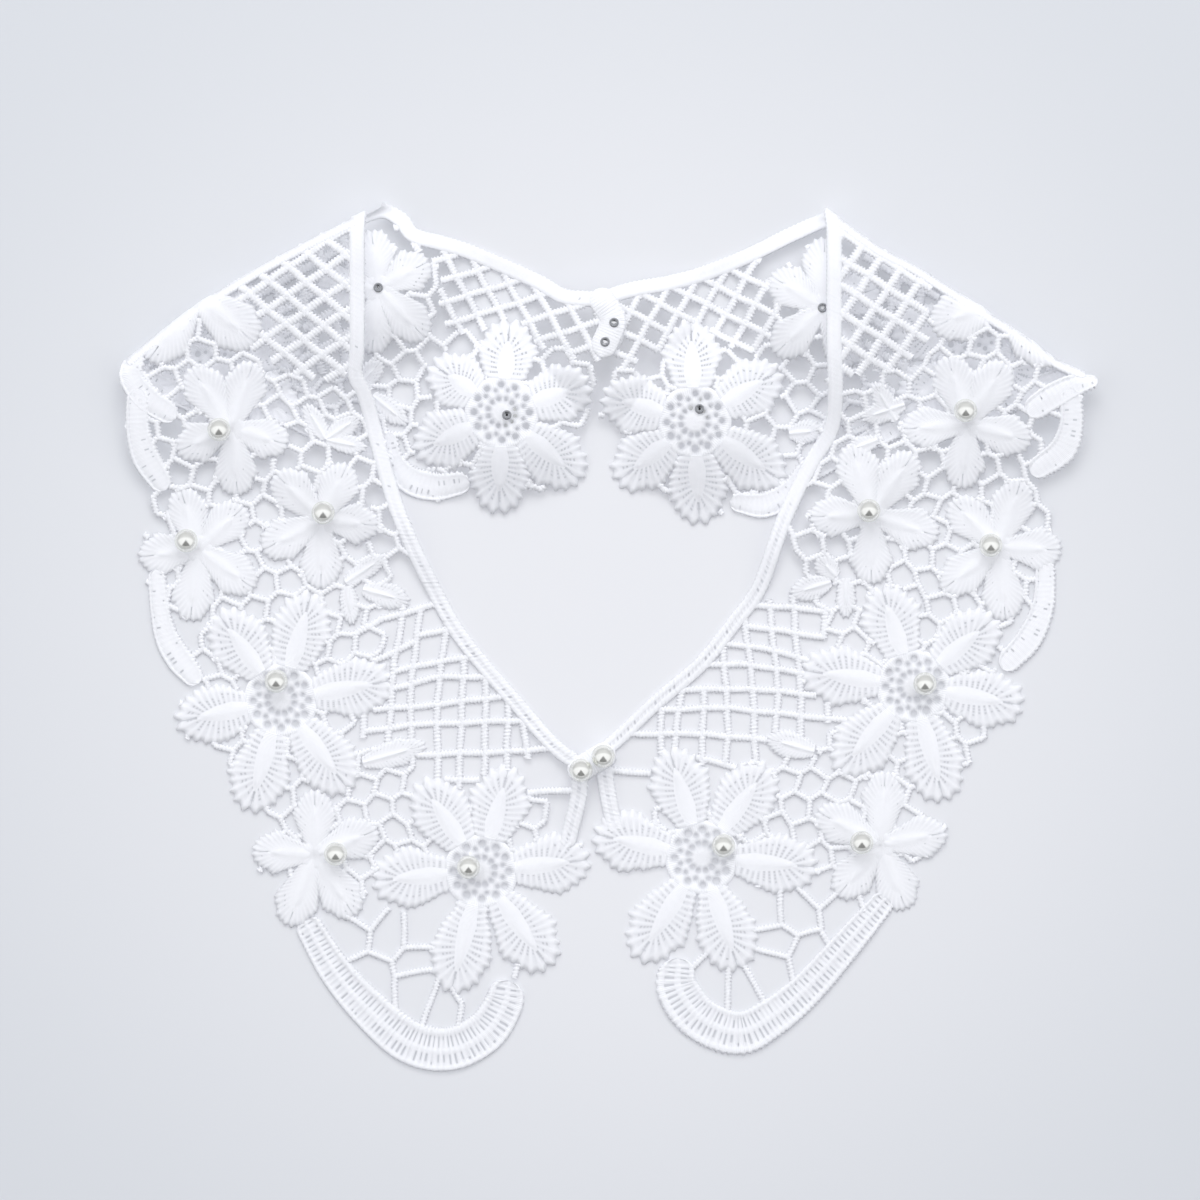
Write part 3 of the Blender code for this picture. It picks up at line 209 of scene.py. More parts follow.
# Lattice bars of the two fronts, which lie a little unevenly: piece, x and y of each end
FRONT_BARS = (
    ("front_left", -84.3, 1.3, -76, 6), ("front_left", -76, 6, -59, 10.7),
    ("front_left", -74.3, -6, -64, -1.3), ("front_left", -63, 0.7, -54, 2.7),
    ("front_left", -70.7, -11, -56.3, -8), ("front_left", -56.3, -8, -47.7, -6.7),
    ("front_left", -71.3, -16.7, -56, -13), ("front_left", -56, -13, -41.3, -13),
    ("front_left", -81, -24.3, -57.3, -22.3), ("front_left", -57.3, -22.3, -39.3, -20),
    ("front_left", -81, -31.3, -65.7, -29), ("front_left", -65.7, -29, -32.7, -27.7),
    ("front_left", -62, -39, -26.7, -37.7), ("front_left", -26.7, -37.7, -19.3, -36.7),
    ("front_left", -49, -47.3, -41.3, -47.3), ("front_left", -21.3, -51.3, -12, -50.7),
    ("front_left", -81, -22.7, -81.7, -32.3), ("front_left", -68.3, 8.7, -71.3, -9),
    ("front_left", -71.3, -9, -73, -31.7), ("front_left", -62.7, 7.7, -65.7, -16),
    ("front_left", -65.7, -16, -65.7, -30), ("front_left", -54, 2.7, -57, -20.7),
    ("front_left", -57, -20.7, -56.7, -44.7), ("front_left", -48, -7.3, -49.7, -46.7),
    ("front_left", -40.7, -16.7, -41.3, -49.3), ("front_left", -33.3, -24, -33.7, -42),
    ("front_left", -28, -29.7, -27, -39.3),
    ("front_right", 46.3, 10.7, 61.7, 10.3), ("front_right", 61.7, 10.3, 71.3, 8.7),
    ("front_right", 46.3, 4, 71.3, 0.3), ("front_right", 39, -1.7, 54, -4),
    ("front_right", 54, -4, 66, -7.3), ("front_right", 32, -8.7, 47.3, -9),
    ("front_right", 47.3, -9, 64, -11.7), ("front_right", 24, -17.3, 48, -17),
    ("front_right", 48, -17, 80.7, -20.3), ("front_right", 17, -24, 39.7, -23.3),
    ("front_right", 39.7, -23.3, 73.7, -27), ("front_right", 8, -32, 31.7, -32),
    ("front_right", 31.7, -32, 52, -34), ("front_right", 31.3, -40.3, 39.3, -42.3),
    ("front_right", 3.3, -44.3, 10.7, -45), ("front_right", 17.7, -25.3, 17.7, -38),
    ("front_right", 23.7, -23.3, 22, -37.3), ("front_right", 32, -17.3, 31, -50),
    ("front_right", 38.3, -2, 40.3, -32.7), ("front_right", 40.3, -32.7, 39, -41.3),
    ("front_right", 45.7, 5.3, 48.3, -17.3), ("front_right", 48.3, -17.3, 49, -37.3),
    ("front_right", 53.7, 12, 56.7, -17.3), ("front_right", 56.7, -17.3, 56, -29.7),
    ("front_right", 61.7, 11.3, 64.3, -19), ("front_right", 64.3, -19, 64.3, -31.3),
    ("front_right", 72.7, 8.7, 71.7, 0.7), ("front_right", 73.3, -19.7, 73.3, -27.3),
)

# Even lattices: piece, a crossing's x and y, the two bar directions in degrees, spacing, region
LATTICES = (
    ("front_left", -100.0, 118.0, 34, -40, 7.6,
     ((-85.3, 150), (-85.3, 88.7), (-92.7, 86), (-106, 88.7), (-117.7, 96), (-126.7, 106.7),
      (-130, 125), (-97, 145))),
    ("front_right", 93.0, 116.0, -32, 56, 7.6,
     ((76.7, 150), (76.7, 88.7), (85.7, 87.7), (97.3, 90), (107.3, 101), (104, 112.7),
      (114, 125), (90.3, 140))),
    ("back_left", -40.0, 116.0, -62, 17, 7.1,
     ((-72, 137.7), (-64.3, 131.7), (-44.7, 125.3), (-24.3, 116.7), (-15, 111.3), (-2.7, 110.7),
      (-1, 96), (-5.3, 90), (-16, 96), (-26, 97.7), (-36, 104.3), (-52.7, 101), (-56, 112.7),
      (-54.3, 122.7), (-62.7, 129.3))),
    ("back_right", 33.0, 111.0, 61, -27, 7.0,
     ((2, 112.7), (21.3, 116.7), (34.7, 120), (49, 126.7), (53.3, 121), (56.7, 112.7), (54, 97.7),
      (45.7, 95.3), (30.7, 101), (24, 97.7), (14, 96), (5.7, 89.3), (1.3, 97.7))),
    ("back_left", -101.0, 113.0, 29, -77, 8.6,
     ((-86, 150), (-86, 90), (-100, 88), (-116, 104), (-126, 125), (-97, 150))),
    ("back_right", 95.0, 112.0, -29, 77, 8.6,
     ((86, 150), (86, 90), (98, 88), (110, 104), (120, 125), (92, 150))),
)

# Net of brides between the motifs: piece, spacing of the meshes, turn in degrees, region
NETS = (
    ("front_left", 9.2, 8,
     ((-86, 86), (-77.7, 66), (-73.3, 46), (-67.7, 26), (-74.3, 12.7), (-74.3, -17.3), (-84.3, -22.3),
      (-82, -34), (-71, -35.7), (-61, -42.3), (-54.3, -54), (-42.7, -55.7), (-21, -52), (-12.7, -67.3),
      (-22, -78), (-42, -78), (-70, -83), (-84, -87), (-97, -76),
      (-102.7, -84), (-115.3, -67.3), (-112.7, -47.3), (-129.3, -44), (-139.3, -30.7), (-136, -4),
      (-146.3, 12.7), (-152, 26), (-153, 46), (-149.3, 59.3), (-156, 72.7), (-160, 88), (-149, 100),
      (-128, 114), (-117.7, 96), (-106, 88.7), (-92.7, 86))),
    ("front_right", 9.2, -6,
     ((77.3, 88.7), (71.3, 69.3), (65.7, 49.3), (59, 31), (68, 16), (69, -10.7), (82.3, -17.3),
      (84.7, -28), (52.3, -35.7), (42.3, -50.7), (27.3, -55.7), (4, -54), (4.7, -70.7), (14, -76),
      (31, -73), (60, -80), (78, -83), (91, -74), (97.3, -80.7), (109, -67.3),
      (105.7, -50.7), (124, -40.7), (134, -27.3), (130.7, -4), (141, 12.7), (149, 26), (148.5, 46),
      (144, 62.7), (154, 84), (138, 99), (118, 111), (107.3, 101), (97.3, 90), (85.7, 88.7))),
    ("back_left", 9.4, 20,
     ((-78, 126), (-56, 126), (-55, 104), (-36, 102), (-2, 96), (-4, 72), (-24, 46), (-48, 50),
      (-66, 54), (-74, 62), (-109.3, 75), (-142.7, 82), (-158, 92), (-148, 101), (-126, 116),
      (-116, 104), (-100, 88), (-84, 92))),
    ("back_right", 9.4, -20,
     ((80, 128), (54, 124), (54, 100), (30, 98), (2, 94), (0, 74), (14, 50), (30, 42), (52, 44),
      (66, 52), (107, 75), (140, 82), (153, 91), (138, 100), (124, 112), (110, 104), (98, 88), (84, 92))),
)

# Brides that hold the hem crescents to the lowest flowers: piece, x and y of each end
HEM_BRIDES = (
    ("front_left", -86.6, -92.8, -79.3, -97.7), ("front_left", -74.5, -91.7, -79.3, -97.7),
    ("front_left", -79.3, -97.7, -80, -104.3), ("front_left", -80, -104.3, -72.3, -107.8),
    ("front_left", -80, -104.3, -84.5, -106.5), ("front_left", -68, -93.3, -68, -103.3),
    ("front_left", -68, -103.3, -60, -103.2), ("front_left", -68, -103.3, -72.3, -107.8),
    ("front_left", -72.3, -107.8, -71.2, -112.7), ("front_left", -71.2, -112.7, -60.6, -110.9),
    ("front_left", -71.2, -112.7, -70.8, -122.3), ("front_left", -57.3, -115.7, -61.5, -128.2),
    ("front_left", -51.5, -117.3, -48.8, -121.7), ("front_left", -48.8, -121.7, -49.8, -129.2),
    ("front_left", -30.1, -109.5, -31.6, -115.0),
    ("front_right", 57.4, -86.5, 57.7, -95.6), ("front_right", 57.7, -95.6, 49.8, -97.3),
    ("front_right", 57.7, -95.6, 63.2, -99.2), ("front_right", 63.2, -99.2, 70.9, -97.0),
    ("front_right", 70.9, -97.0, 70.4, -90.1), ("front_right", 70.4, -90.1, 64.6, -84.8),
    ("front_right", 70.4, -90.1, 76.2, -85.4), ("front_right", 70.9, -97.0, 74.6, -104.2),
    ("front_right", 63.2, -99.2, 59.9, -106.6), ("front_right", 59.9, -106.6, 50.3, -103.8),
    ("front_right", 59.9, -106.6, 62.2, -116.0), ("front_right", 45.6, -110.0, 52.6, -121.8),
    ("front_right", 40.4, -110.0, 39.6, -124.4), ("front_right", 32.2, -106.0, 26.8, -110.9),
    ("front_right", 82.4, -83.2, 85.4, -91.0),
)

# Shoulder folds from the outer corner to the neck, with the half of the collar lying to one side
FOLDS = {
    "left": ((-172.0, 83.5), (-161.7, 91.7), (-148, 102.7), (-135.3, 112), (-115, 124.7), (-97, 134),
             (-84.3, 140.3), (-75, 145), (-64, 150.5)),
    "right": ((170, 84), (162.7, 87), (149.7, 92.5), (138, 101), (125.3, 109.3), (115.7, 115.7),
              (103, 124), (90.3, 130.5), (73.7, 142.3), (63, 150)),
}
# Soft rolled edge where the lace turns over at the shoulder, a little inside the fold
FOLD_EDGES = {
    "left": ((-158.5, 92.0), (-147.2, 101.7), (-134.4, 110.9), (-114.3, 122.8), (-96.3, 132.0), (-84.6, 137.8)),
    "right": ((157.5, 87.7), (149.2, 91.3), (137.2, 99.9), (124.3, 107.7), (114.7, 114.1), (102.0, 122.3), (89.4, 128.8), (76.3, 138.3)),
}
# Hidden outer edge of each back strip, under the front
BACK_EDGES = {
    "left": ((-165, 90), (-155, 82), (-142.7, 76.7), (-109.3, 69.3), (-87.7, 60.7), (-74, 50), (-60, 40)),
    "right": ((166, 89), (150, 82), (140.7, 77.3), (107.3, 69.3), (84, 60.7), (70, 48), (56, 38)),
}
# Pearls that hold the halves together: x, y; each pair is riveted through both tabs
FRONT_PAIR = ((-9.0, -43.9), (-1.6, -39.3))
BACK_PAIR = ((2.2, 105.2), (-1.2, 97.5))
BACK_RIVETS = ((2.0, 104.7), (-1.0, 98.3))
# Middle of each lapped pair of tabs, and the bead that lifts each shoulder
FRONT_TAB = (-5.3, -41.5)
BACK_TAB = (0.5, 103.0)
SHOULDER_BEAD = {"left": (-76.3, 116.4), "right": (71.2, 109.7)}

COLOURS = {
    "lace": (0.93, 0.93, 0.94),
    "pearl": (0.86, 0.86, 0.82),
    "silver": (0.62, 0.63, 0.65),
}


def smooth_fall(distance, flat, reach):
    """One out to flat, falling smoothly to nothing at reach."""
    share = np.clip((distance - flat) / (reach - flat), 0.0, 1.0)
    return 1.0 - share * share * (3.0 - 2.0 * share)


def stroke_distance(x, y, stations):
    """Distance outside a stroke whose stations are x, y, radius; negative within it."""
    nearest = np.full(x.shape, FAR)
    for (ax, ay, ar), (bx, by, br) in zip(stations[:-1], stations[1:]):
        dx, dy = bx - ax, by - ay
        share = np.clip(((x - ax) * dx + (y - ay) * dy) / max(dx * dx + dy * dy, 1 / FAR), 0.0, 1.0)
        away = np.hypot(x - ax - share * dx, y - ay - share * dy) - (ar + share * (br - ar))
        nearest = np.minimum(nearest, away)
    return nearest


def line_distance(x, y, line):
    """Signed distance to an open line, positive on its right, and the share of its length reached."""
    best = np.full(x.shape, FAR)
    side = np.zeros(x.shape)
    reached = np.zeros(x.shape)
    lengths = [math.dist(a, b) for a, b in zip(line[:-1], line[1:])]
    before = 0.0
    for (ax, ay), (bx, by), length in zip(line[:-1], line[1:], lengths):
        ux, uy = (bx - ax) / length, (by - ay) / length
        along = np.clip((x - ax) * ux + (y - ay) * uy, 0.0, length)
        away = np.hypot(x - ax - along * ux, y - ay - along * uy)
        closer = away < best
        best = np.where(closer, away, best)
        side = np.where(closer, (x - ax) * uy - (y - ay) * ux, side)
        reached = np.where(closer, before + along, reached)
        before += length
    return best * np.sign(side), reached / before


def region_distance(x, y, corners):
    """Distance outside a closed region, negative within it."""
    best = np.full(x.shape, FAR)
    inside = np.zeros(x.shape, dtype=bool)
    for (ax, ay), (bx, by) in zip(corners, corners[1:] + corners[:1]):
        dx, dy = bx - ax, by - ay
        share = np.clip(((x - ax) * dx + (y - ay) * dy) / (dx * dx + dy * dy), 0.0, 1.0)
        best = np.minimum(best, np.hypot(x - ax - share * dx, y - ay - share * dy))
        if dy:
            crosses = ((ay > y) != (by > y)) & (x < ax + (y - ay) * dx / dy)
            inside ^= crosses
    return np.where(inside, -best, best)


def lattice_bars(cx, cy, angles, spacing, region):
    """Straight bars of two crossing directions, long enough to cross the region."""
    reach = max(math.dist((cx, cy), corner) for corner in region) + spacing
    count = int(reach / spacing) + 1
    bars = []
    for angle in angles:
        ux, uy = math.cos(math.radians(angle)), math.sin(math.radians(angle))
        for step in range(-count, count + 1):
            px, py = cx - uy * step * spacing, cy + ux * step * spacing
            bars.append((px - ux * reach, py - uy * reach, px + ux * reach, py + uy * reach))
    return bars


def net_brides(spacing, turn, region, covered):
    """Sides of slightly uneven six-sided meshes inside the region, without loose ends."""
    turn = math.radians(turn)
    side = spacing / math.sqrt(3.0)
    xs, ys = [c[0] for c in region], [c[1] for c in region]
    mx, my = (min(xs) + max(xs)) / 2, (min(ys) + max(ys)) / 2
    reach = math.hypot(max(xs) - min(xs), max(ys) - min(ys)) / 2 + spacing
    rows = int(reach / (1.5 * side)) + 1
    columns = int(reach / spacing) + 1
    nodes, sides = {}, set()

    def node(i, j, k):
        if (i, j, k) not in nodes:
            u = (i + 0.5 * (j % 2)) * spacing
            v = j * 1.5 * side + (side / 2 if k else -side / 2)
            u += NET_JITTER * math.sin(12.9 * i + 7.3 * j + 3.1 * k)
            v += NET_JITTER * math.cos(9.7 * i + 11.9 * j + 5.3 * k)
            nodes[i, j, k] = (mx + u * math.cos(turn) - v * math.sin(turn),
                              my + u * math.sin(turn) + v * math.cos(turn))
        return (i, j, k)

    for j in range(-rows, rows + 1):
        for i in range(-columns, columns + 1):
            sides.add((node(i, j, 0), node(i, j, 1)))
            shift = j % 2
            sides.add((node(i, j, 1), node(i - 1 + shift, j + 1, 0)))
            sides.add((node(i, j, 1), node(i + shift, j + 1, 0)))
    places = {key: np.array(value) for key, value in nodes.items()}
    keys = list(places)
    spots = np.array([places[key] for key in keys])
    within = dict(zip(keys, region_distance(spots[:, 0], spots[:, 1], region) < 0.0))
    held = dict(zip(keys, covered(spots[:, 0], spots[:, 1]) < -0.3))
    sides = {s for s in sides if (within[s[0]] or held[s[0]]) and (within[s[1]] or held[s[1]])
             and (within[s[0]] or within[s[1]])}
    while True:
        ends = {}
        for a, b in sides:
            ends[a] = ends.get(a, 0) + 1
            ends[b] = ends.get(b, 0) + 1
        loose = {s for s in sides if any(ends[e] == 1 and not held[e] for e in s)}
        if not loose:
            break
        sides -= loose
    brides = []
    for a, b in sorted(sides):
        first, second = places[a], places[b]
        ahead = (second - first) / math.dist(first, second)
        first = first - ahead * (1.6 if held[a] else 0.0)
        second = second + ahead * (1.6 if held[b] else 0.0)
        brides.append((*first, *second))
    return brides


def smooth_line(points, step):
    """Points every step along a soft curve through the given points, which may carry a width."""
    points = np.array(points, dtype=float)
    ends = np.vstack([2 * points[0] - points[1], points, 2 * points[-1] - points[-2]])
    out = []
    for a, b, c, d in zip(ends[:-3], ends[1:-2], ends[2:-1], ends[3:]):
        count = max(2, int(math.hypot(*(c - b)[:2]) / step * 2))
        for t in np.arange(count) / count:
            out.append(0.5 * (2 * b + (c - a) * t + (2 * a - 5 * b + 4 * c - d) * t * t
                              + (3 * b - a - 3 * c + d) * t ** 3))
    out = np.array(out + [points[-1]])
    along = np.concatenate([[0], np.cumsum(np.hypot(*np.diff(out[:, :2], axis=0).T))])
    places = np.linspace(0, along[-1], max(2, round(along[-1] / step)) + 1)
    return np.column_stack([np.interp(places, along, column) for column in out.T]), places


def side_of(strip):
    return strip.split("_")[1]


def inward(strip, x, y):
    """Distance in from the shoulder fold, positive within the collar, and the share of the fold."""
    distance, share = line_distance(x, y, FOLDS[side_of(strip)])
    return (distance if side_of(strip) == "left" else -distance), share


def back_height(strip, x, y):
    """Height of a back strip's underside, lifted by the pearls beneath it."""
    spots = [f[6:8] for f in FLOWERS if f[0].startswith("back") and f[6] is not None] + list(BACK_PAIR)
    height = np.zeros(np.shape(x))
    for px, py in spots:
        near = smooth_fall(np.hypot(x - px, y - py), *BEAD_REACH)
        height = np.maximum(height, (PEARL_DIAMETER + SEAM) * near)
    if strip == "back_left":
        height = height + TAB_LIFT * smooth_fall(np.hypot(x - BACK_TAB[0], y - BACK_TAB[1]), *TAB_REACH)
    return height


def front_height(strip, x, y):
    """Height of a front strip's underside, over the back strip and up to the shoulder fold."""
    side = side_of(strip)
    distance, share = inward(strip, x, y)
    crest = (CREST_OUTER + (CREST_NECK - CREST_OUTER) * share) * smooth_fall(distance, *CREST_REACH)
    edge, _ = line_distance(x, y, BACK_EDGES[side])
    beyond = np.maximum(edge if side == "left" else -edge, 0.0)
    over_back = OVER_BACK_LIFT * smooth_fall(beyond, *OVER_BACK_REACH)
    px, py = SHOULDER_BEAD[side]
    over_bead = OVER_BEAD_LIFT * smooth_fall(np.hypot(x - px, y - py), *OVER_BEAD_REACH)
    height = (crest ** 4 + over_back ** 4 + over_bead ** 4) ** 0.25
    if strip == "front_left":
        height = height + TAB_LIFT * smooth_fall(np.hypot(x - FRONT_TAB[0], y - FRONT_TAB[1]), *TAB_REACH)
    return height


def from_fold(strip, x, y):
    """Distance in from the shoulder fold and the direction in which it grows."""
    step = 0.01
    gx = (inward(strip, x + step, y)[0] - inward(strip, x - step, y)[0]) / (2 * step)
    gy = (inward(strip, x, y + step)[0] - inward(strip, x, y - step)[0]) / (2 * step)
    size = np.maximum(np.hypot(gx, gy), 1 / FAR)
    return inward(strip, x, y)[0], gx / size, gy / size


def laid(strip, x, y, raised):
    """Points of a strip in place: raised is the height over its underside where it lies flat."""
    front = strip.startswith("front")
    side = side_of(strip)
    height = (front_height if front else back_height)(strip, x, y)
    distance, gx, gy = from_fold(strip, x, y)
    distance = np.maximum(distance, 0.0)
    fx, fy = x - gx * distance, y - gy * distance
    top = front_height("front_" + side, fx, fy) + WALL
    radius = (top - back_height("back_" + side, fx, fy) - SEAM) / 2
    cos = np.clip(1 - distance / radius, 0.0, 1.0)
    sin = np.sqrt(1 - cos * cos)
    turn = radius * (1 - sin)
    if front:
        sunk = WALL - raised
        z = height + WALL - turn - sin * sunk
    else:
        sunk = raised
        z = height + turn + sin * sunk
    return np.stack([x + gx * cos * sunk, y + gy * cos * sunk, z], axis=1)


class Cloth:
    """The stitched lace of one strip, gathered motif by motif."""

    def __init__(self, strip):
        self.strip = strip
        self.points, self.faces, self.count = [], [], 0

    def add(self, x, y, raised, painted_shade, along, across, kept=None):
        """A patch of stitches: rows and columns of points, with kept false at its openings."""
        rows, columns = x.shape
        index = self.count + np.arange(rows * columns).reshape(rows, columns)
        quads = np.stack([index[:-1, :-1], index[1:, :-1], index[1:, 1:], index[:-1, 1:]], axis=-1)
        ax, ay = x[1:, 1:] - x[:-1, :-1], y[1:, 1:] - y[:-1, :-1]
        bx, by = x[1:, :-1] - x[:-1, 1:], y[1:, :-1] - y[:-1, 1:]
        if np.sum(bx * ay - by * ax) < 0:
            quads = quads[..., ::-1]
        quads = quads.reshape(-1, 4) if kept is None else quads[kept]
        values = [np.broadcast_to(v, x.shape).ravel() for v in (x, y, raised, painted_shade, along, across)]
        self.points.append(np.stack(values, axis=1))
        self.faces.append(quads)
        self.count += rows * columns


def petal(cloth, kind, x, y, angle, start, reach, profile, tip, width, base=0.0):
    """A petal or leaf: a smooth spine with stitched ribs that fan out to a scalloped edge."""
    big, leaf = kind == "big", kind == "leaf"
    outline = [(start, np.interp(start, [p[0] * reach for p in profile], [p[1] * width for p in profile]))]
    outline += [(u * reach, r * width) for u, r in profile if u * reach > start + 1]
    centre, radius = reach - tip * width, tip * width
    outline += [(centre + radius * math.cos(a), radius * math.sin(a))
                for a in np.linspace(math.radians(60 if leaf else 80), 0, 7)]
    edge, places = smooth_line(outline, 0.4)
    length = places[-1]
    ribs = max(5, round(length / RIB_PITCH[kind]))
    fan = 0.28 if big else 0.12
    marks = (0.17, 0.38, 0.62, 0.83) if big else (0.15, 0.5, 0.85)
    drift = 0.12 * (rng.random(ribs + 1) - 0.5)
    phase = [k + part + drift[k + (part > 0.5)] * abs(2 * part - 1) for k in range(ribs) for part in marks]
    phase = np.array([0.0] + phase + [float(ribs)])
    share = phase / ribs
    ridge = 0.5 - 0.5 * np.cos(math.tau * phase)
    place = (share * (1 - fan) + fan * share ** 3) * length
    edge_u, edge_v = (np.interp(place, places, edge[:, k]) for k in (0, 1))
    spine_end = reach - (0.5 if leaf else 0.34) * width
    reached = share ** {"big": 0.85, "small": 1.15, "fold": 1.15, "leaf": 1.0}[kind]
    spine_u = start + (spine_end - start) * reached
    spine_v = SPINE_HALF[kind] * np.interp(reached, *SPINE_FORM)
    out_u, out_v = edge_u - spine_u, edge_v - spine_v
    size = np.maximum(np.hypot(out_u, out_v), 0.5)
    own = rng.random(ribs) - 0.5
    uneven = np.array([own[0]] + [own[k] for k in range(ribs) for part in marks] + [own[-1]])
    bump = (0.55 + (1.5 if big else 0.4) * share ** 2) * (ridge - 0.6) + (0.9 if big else 0.5) * uneven
    form = RIB_FORMS["big" if big else "small"]
    columns = []
    for side in (-1, 1):
        half = []
        for s, r, l, h in form:
            u = spine_u + out_u * s + out_u / size * bump * s
            v = side * (spine_v + out_v * s + out_v / size * bump * s)
            # Painted shade in the grooves between the ribs, from the form's last number, least on each rib's
            # ridge
            half.append((u, v, r + l * ridge, h * (1 - ridge), size * s + spine_v))
        columns += half[::-1] if side < 0 else half
        if side < 0:
            for s, r in ((-0.55, 1.70), (0.0, 1.80), (0.55, 1.70)):
                fade = np.clip((1 - share) * 6, 0, 1)
                columns.append((spine_u, spine_v * s, 1.3 + (r - 1.3) * fade, 0 * share, spine_v * abs(s)))
    u, v, raised, painted_shade, across = (np.stack(c, axis=1) for c in zip(*columns))
    last = len(form) - 1
    kept = np.ones((len(phase) - 1, u.shape[1] - 1), dtype=bool)
    for sign in (-1, 1):
        for column, chance in zip((1, 3, 5, 7), PIN_HOLES[kind]):
            swell = rng.random() * math.tau
            for row in range(len(marks), len(phase) - 1, len(marks)):
                often = np.clip((0.8 if big else 0.55) + 0.6 * math.sin(row * 0.17 + swell), 0, 1)
                if rng.random() < chance * often:
                    kept[row, last - 1 - column if sign < 0 else last + 4 + column] = False
    turn = math.radians(angle)
    along = np.broadcast_to(place[:, None], u.shape)
    px, py = x + u * math.cos(turn) - v * math.sin(turn), y + u * math.sin(turn) + v * math.cos(turn)
    cloth.add(px, py, raised + base, painted_shade, along, across, kept)


def motif_strokes(strip):
    """The strokes that the solid's motifs are drawn with, to trim bars and brides where they meet them."""
    strokes = []
    for name, x, y, kind, angles, reaches, _, _ in FLOWERS:
        if name == strip:
            strokes.append([(x, y, HUB_RADIUS[kind]), (x, y, HUB_RADIUS[kind])])
            width = PETAL_WIDTH[kind]
            for angle, reach in zip(angles, reaches):
                ux, uy = math.cos(math.radians(angle)), math.sin(math.radians(angle))
                rows = [(s * reach, p * width) for s, p in PETAL_PROFILES[kind]]
                rows.append((reach - PETAL_TIP * width, PETAL_TIP * width))
                strokes.append([(x + ux * u, y + uy * u, r) for u, r in rows])
    for name, rows in CRESCENTS:
        if name == strip:
            strokes.append([(x, y, w / 2) for x, y, w in rows])
    for name, x0, y0, x1, y1, width in LEAVES:
        if name == strip:
            rows = ((0.0, 0.22), (0.35, 0.46), (0.6, 0.5), (0.8, 0.34), (0.92, 0.18))
            strokes.append([(x0 + (x1 - x0) * u, y0 + (y1 - y0) * u, r * width) for u, r in rows])
    for name, width, line in BANDS:
        if name == strip:
            strokes.append([(x, y, width / 2) for x, y in line])
    return strokes


def picot_bar(cloth, line, width, kept_at):
    """A bar or bride: a corded run of thread with small picot bumps along both edges."""
    mid, places = smooth_line(line, 0.29)
    keep = kept_at(mid[:, 0], mid[:, 1])
    edges = np.flatnonzero(np.diff(np.concatenate([[0], keep.astype(int), [0]])))
    for first, last in zip(edges[::2], edges[1::2]):
        if last - first < 3:
            continue
        run, s = mid[first:last], places[first:last]
        tangent = np.gradient(run[:, :2], axis=0)
        tangent /= np.maximum(np.hypot(*tangent.T), 1 / FAR)[:, None]
        nx, ny = -tangent[:, 1], tangent[:, 0]
        start, swell = rng.random(2) * math.tau
        sway = 0.16 * np.sin(s / 2.9 + start)
        columns = []
        # The third number of each column is painted shade along the bar's sides, lighter where a picot bulges
        # out
        for part, raised, painted_shade in ((-1, 0.05, 0.45), (-1, 0.80, 0.30), (-0.45, 1.28, 0.0),
                                     (0.45, 1.28, 0.0), (1, 0.80, 0.30), (1, 0.05, 0.45)):
            uneven = 0.8 * np.sin(s / 1.9 + swell * (2 + part))
            beat = np.sin(math.tau * s / PICOT_PITCH + start + (2.2 if part > 0 else 0) + uneven)
            picot = 0.25 + 0.10 * np.sin(s / 1.7 + swell * (1 + part)) if abs(part) == 1 else 0.0
            wide = width / 2 * part * (1.06 + picot * beat) + sway
            columns.append((run[:, 0] + nx * wide, run[:, 1] + ny * wide,
                            raised + (0.14 * beat if raised > 1 else 0 * beat),
                            painted_shade * (0.6 - 0.4 * beat), s, wide))
        x, y, raised, painted_shade, along, across = (np.stack(c, axis=1) for c in zip(*columns))
        cloth.add(x, y, raised, painted_shade, along, across)


def joined_end(tip, ahead, others, covered):
    """Where a bar meets the next motif or bar, up to 6 mm past the end it is given."""
    for further in np.arange(0.5, 6.5, 0.5):
        spot = tip + ahead * further
        px, py = spot[:1], spot[1:]
        near = min(stroke_distance(px, py, ((*a, 0.0), (*b, 0.0)))[0] for a, b in others)
        if covered(px, py)[0] < -0.6 or near < 0.4:
            return spot
    return tip + ahead


def round_ended(line, share):
    """A line of x, y, width carried on at both ends by a share of half its width, for the rounding."""
    line = [np.array(point, dtype=float) for point in line]
    for end, inner in ((0, 1), (-1, -2)):
        ahead = (line[end] - line[inner]) / math.dist(line[end][:2], line[inner][:2])
        further = line[end] + ahead * share * line[end][2] / 2
        line.insert(0 if end == 0 else len(line), np.array([*further[:2], line[end][2]]))
    return line


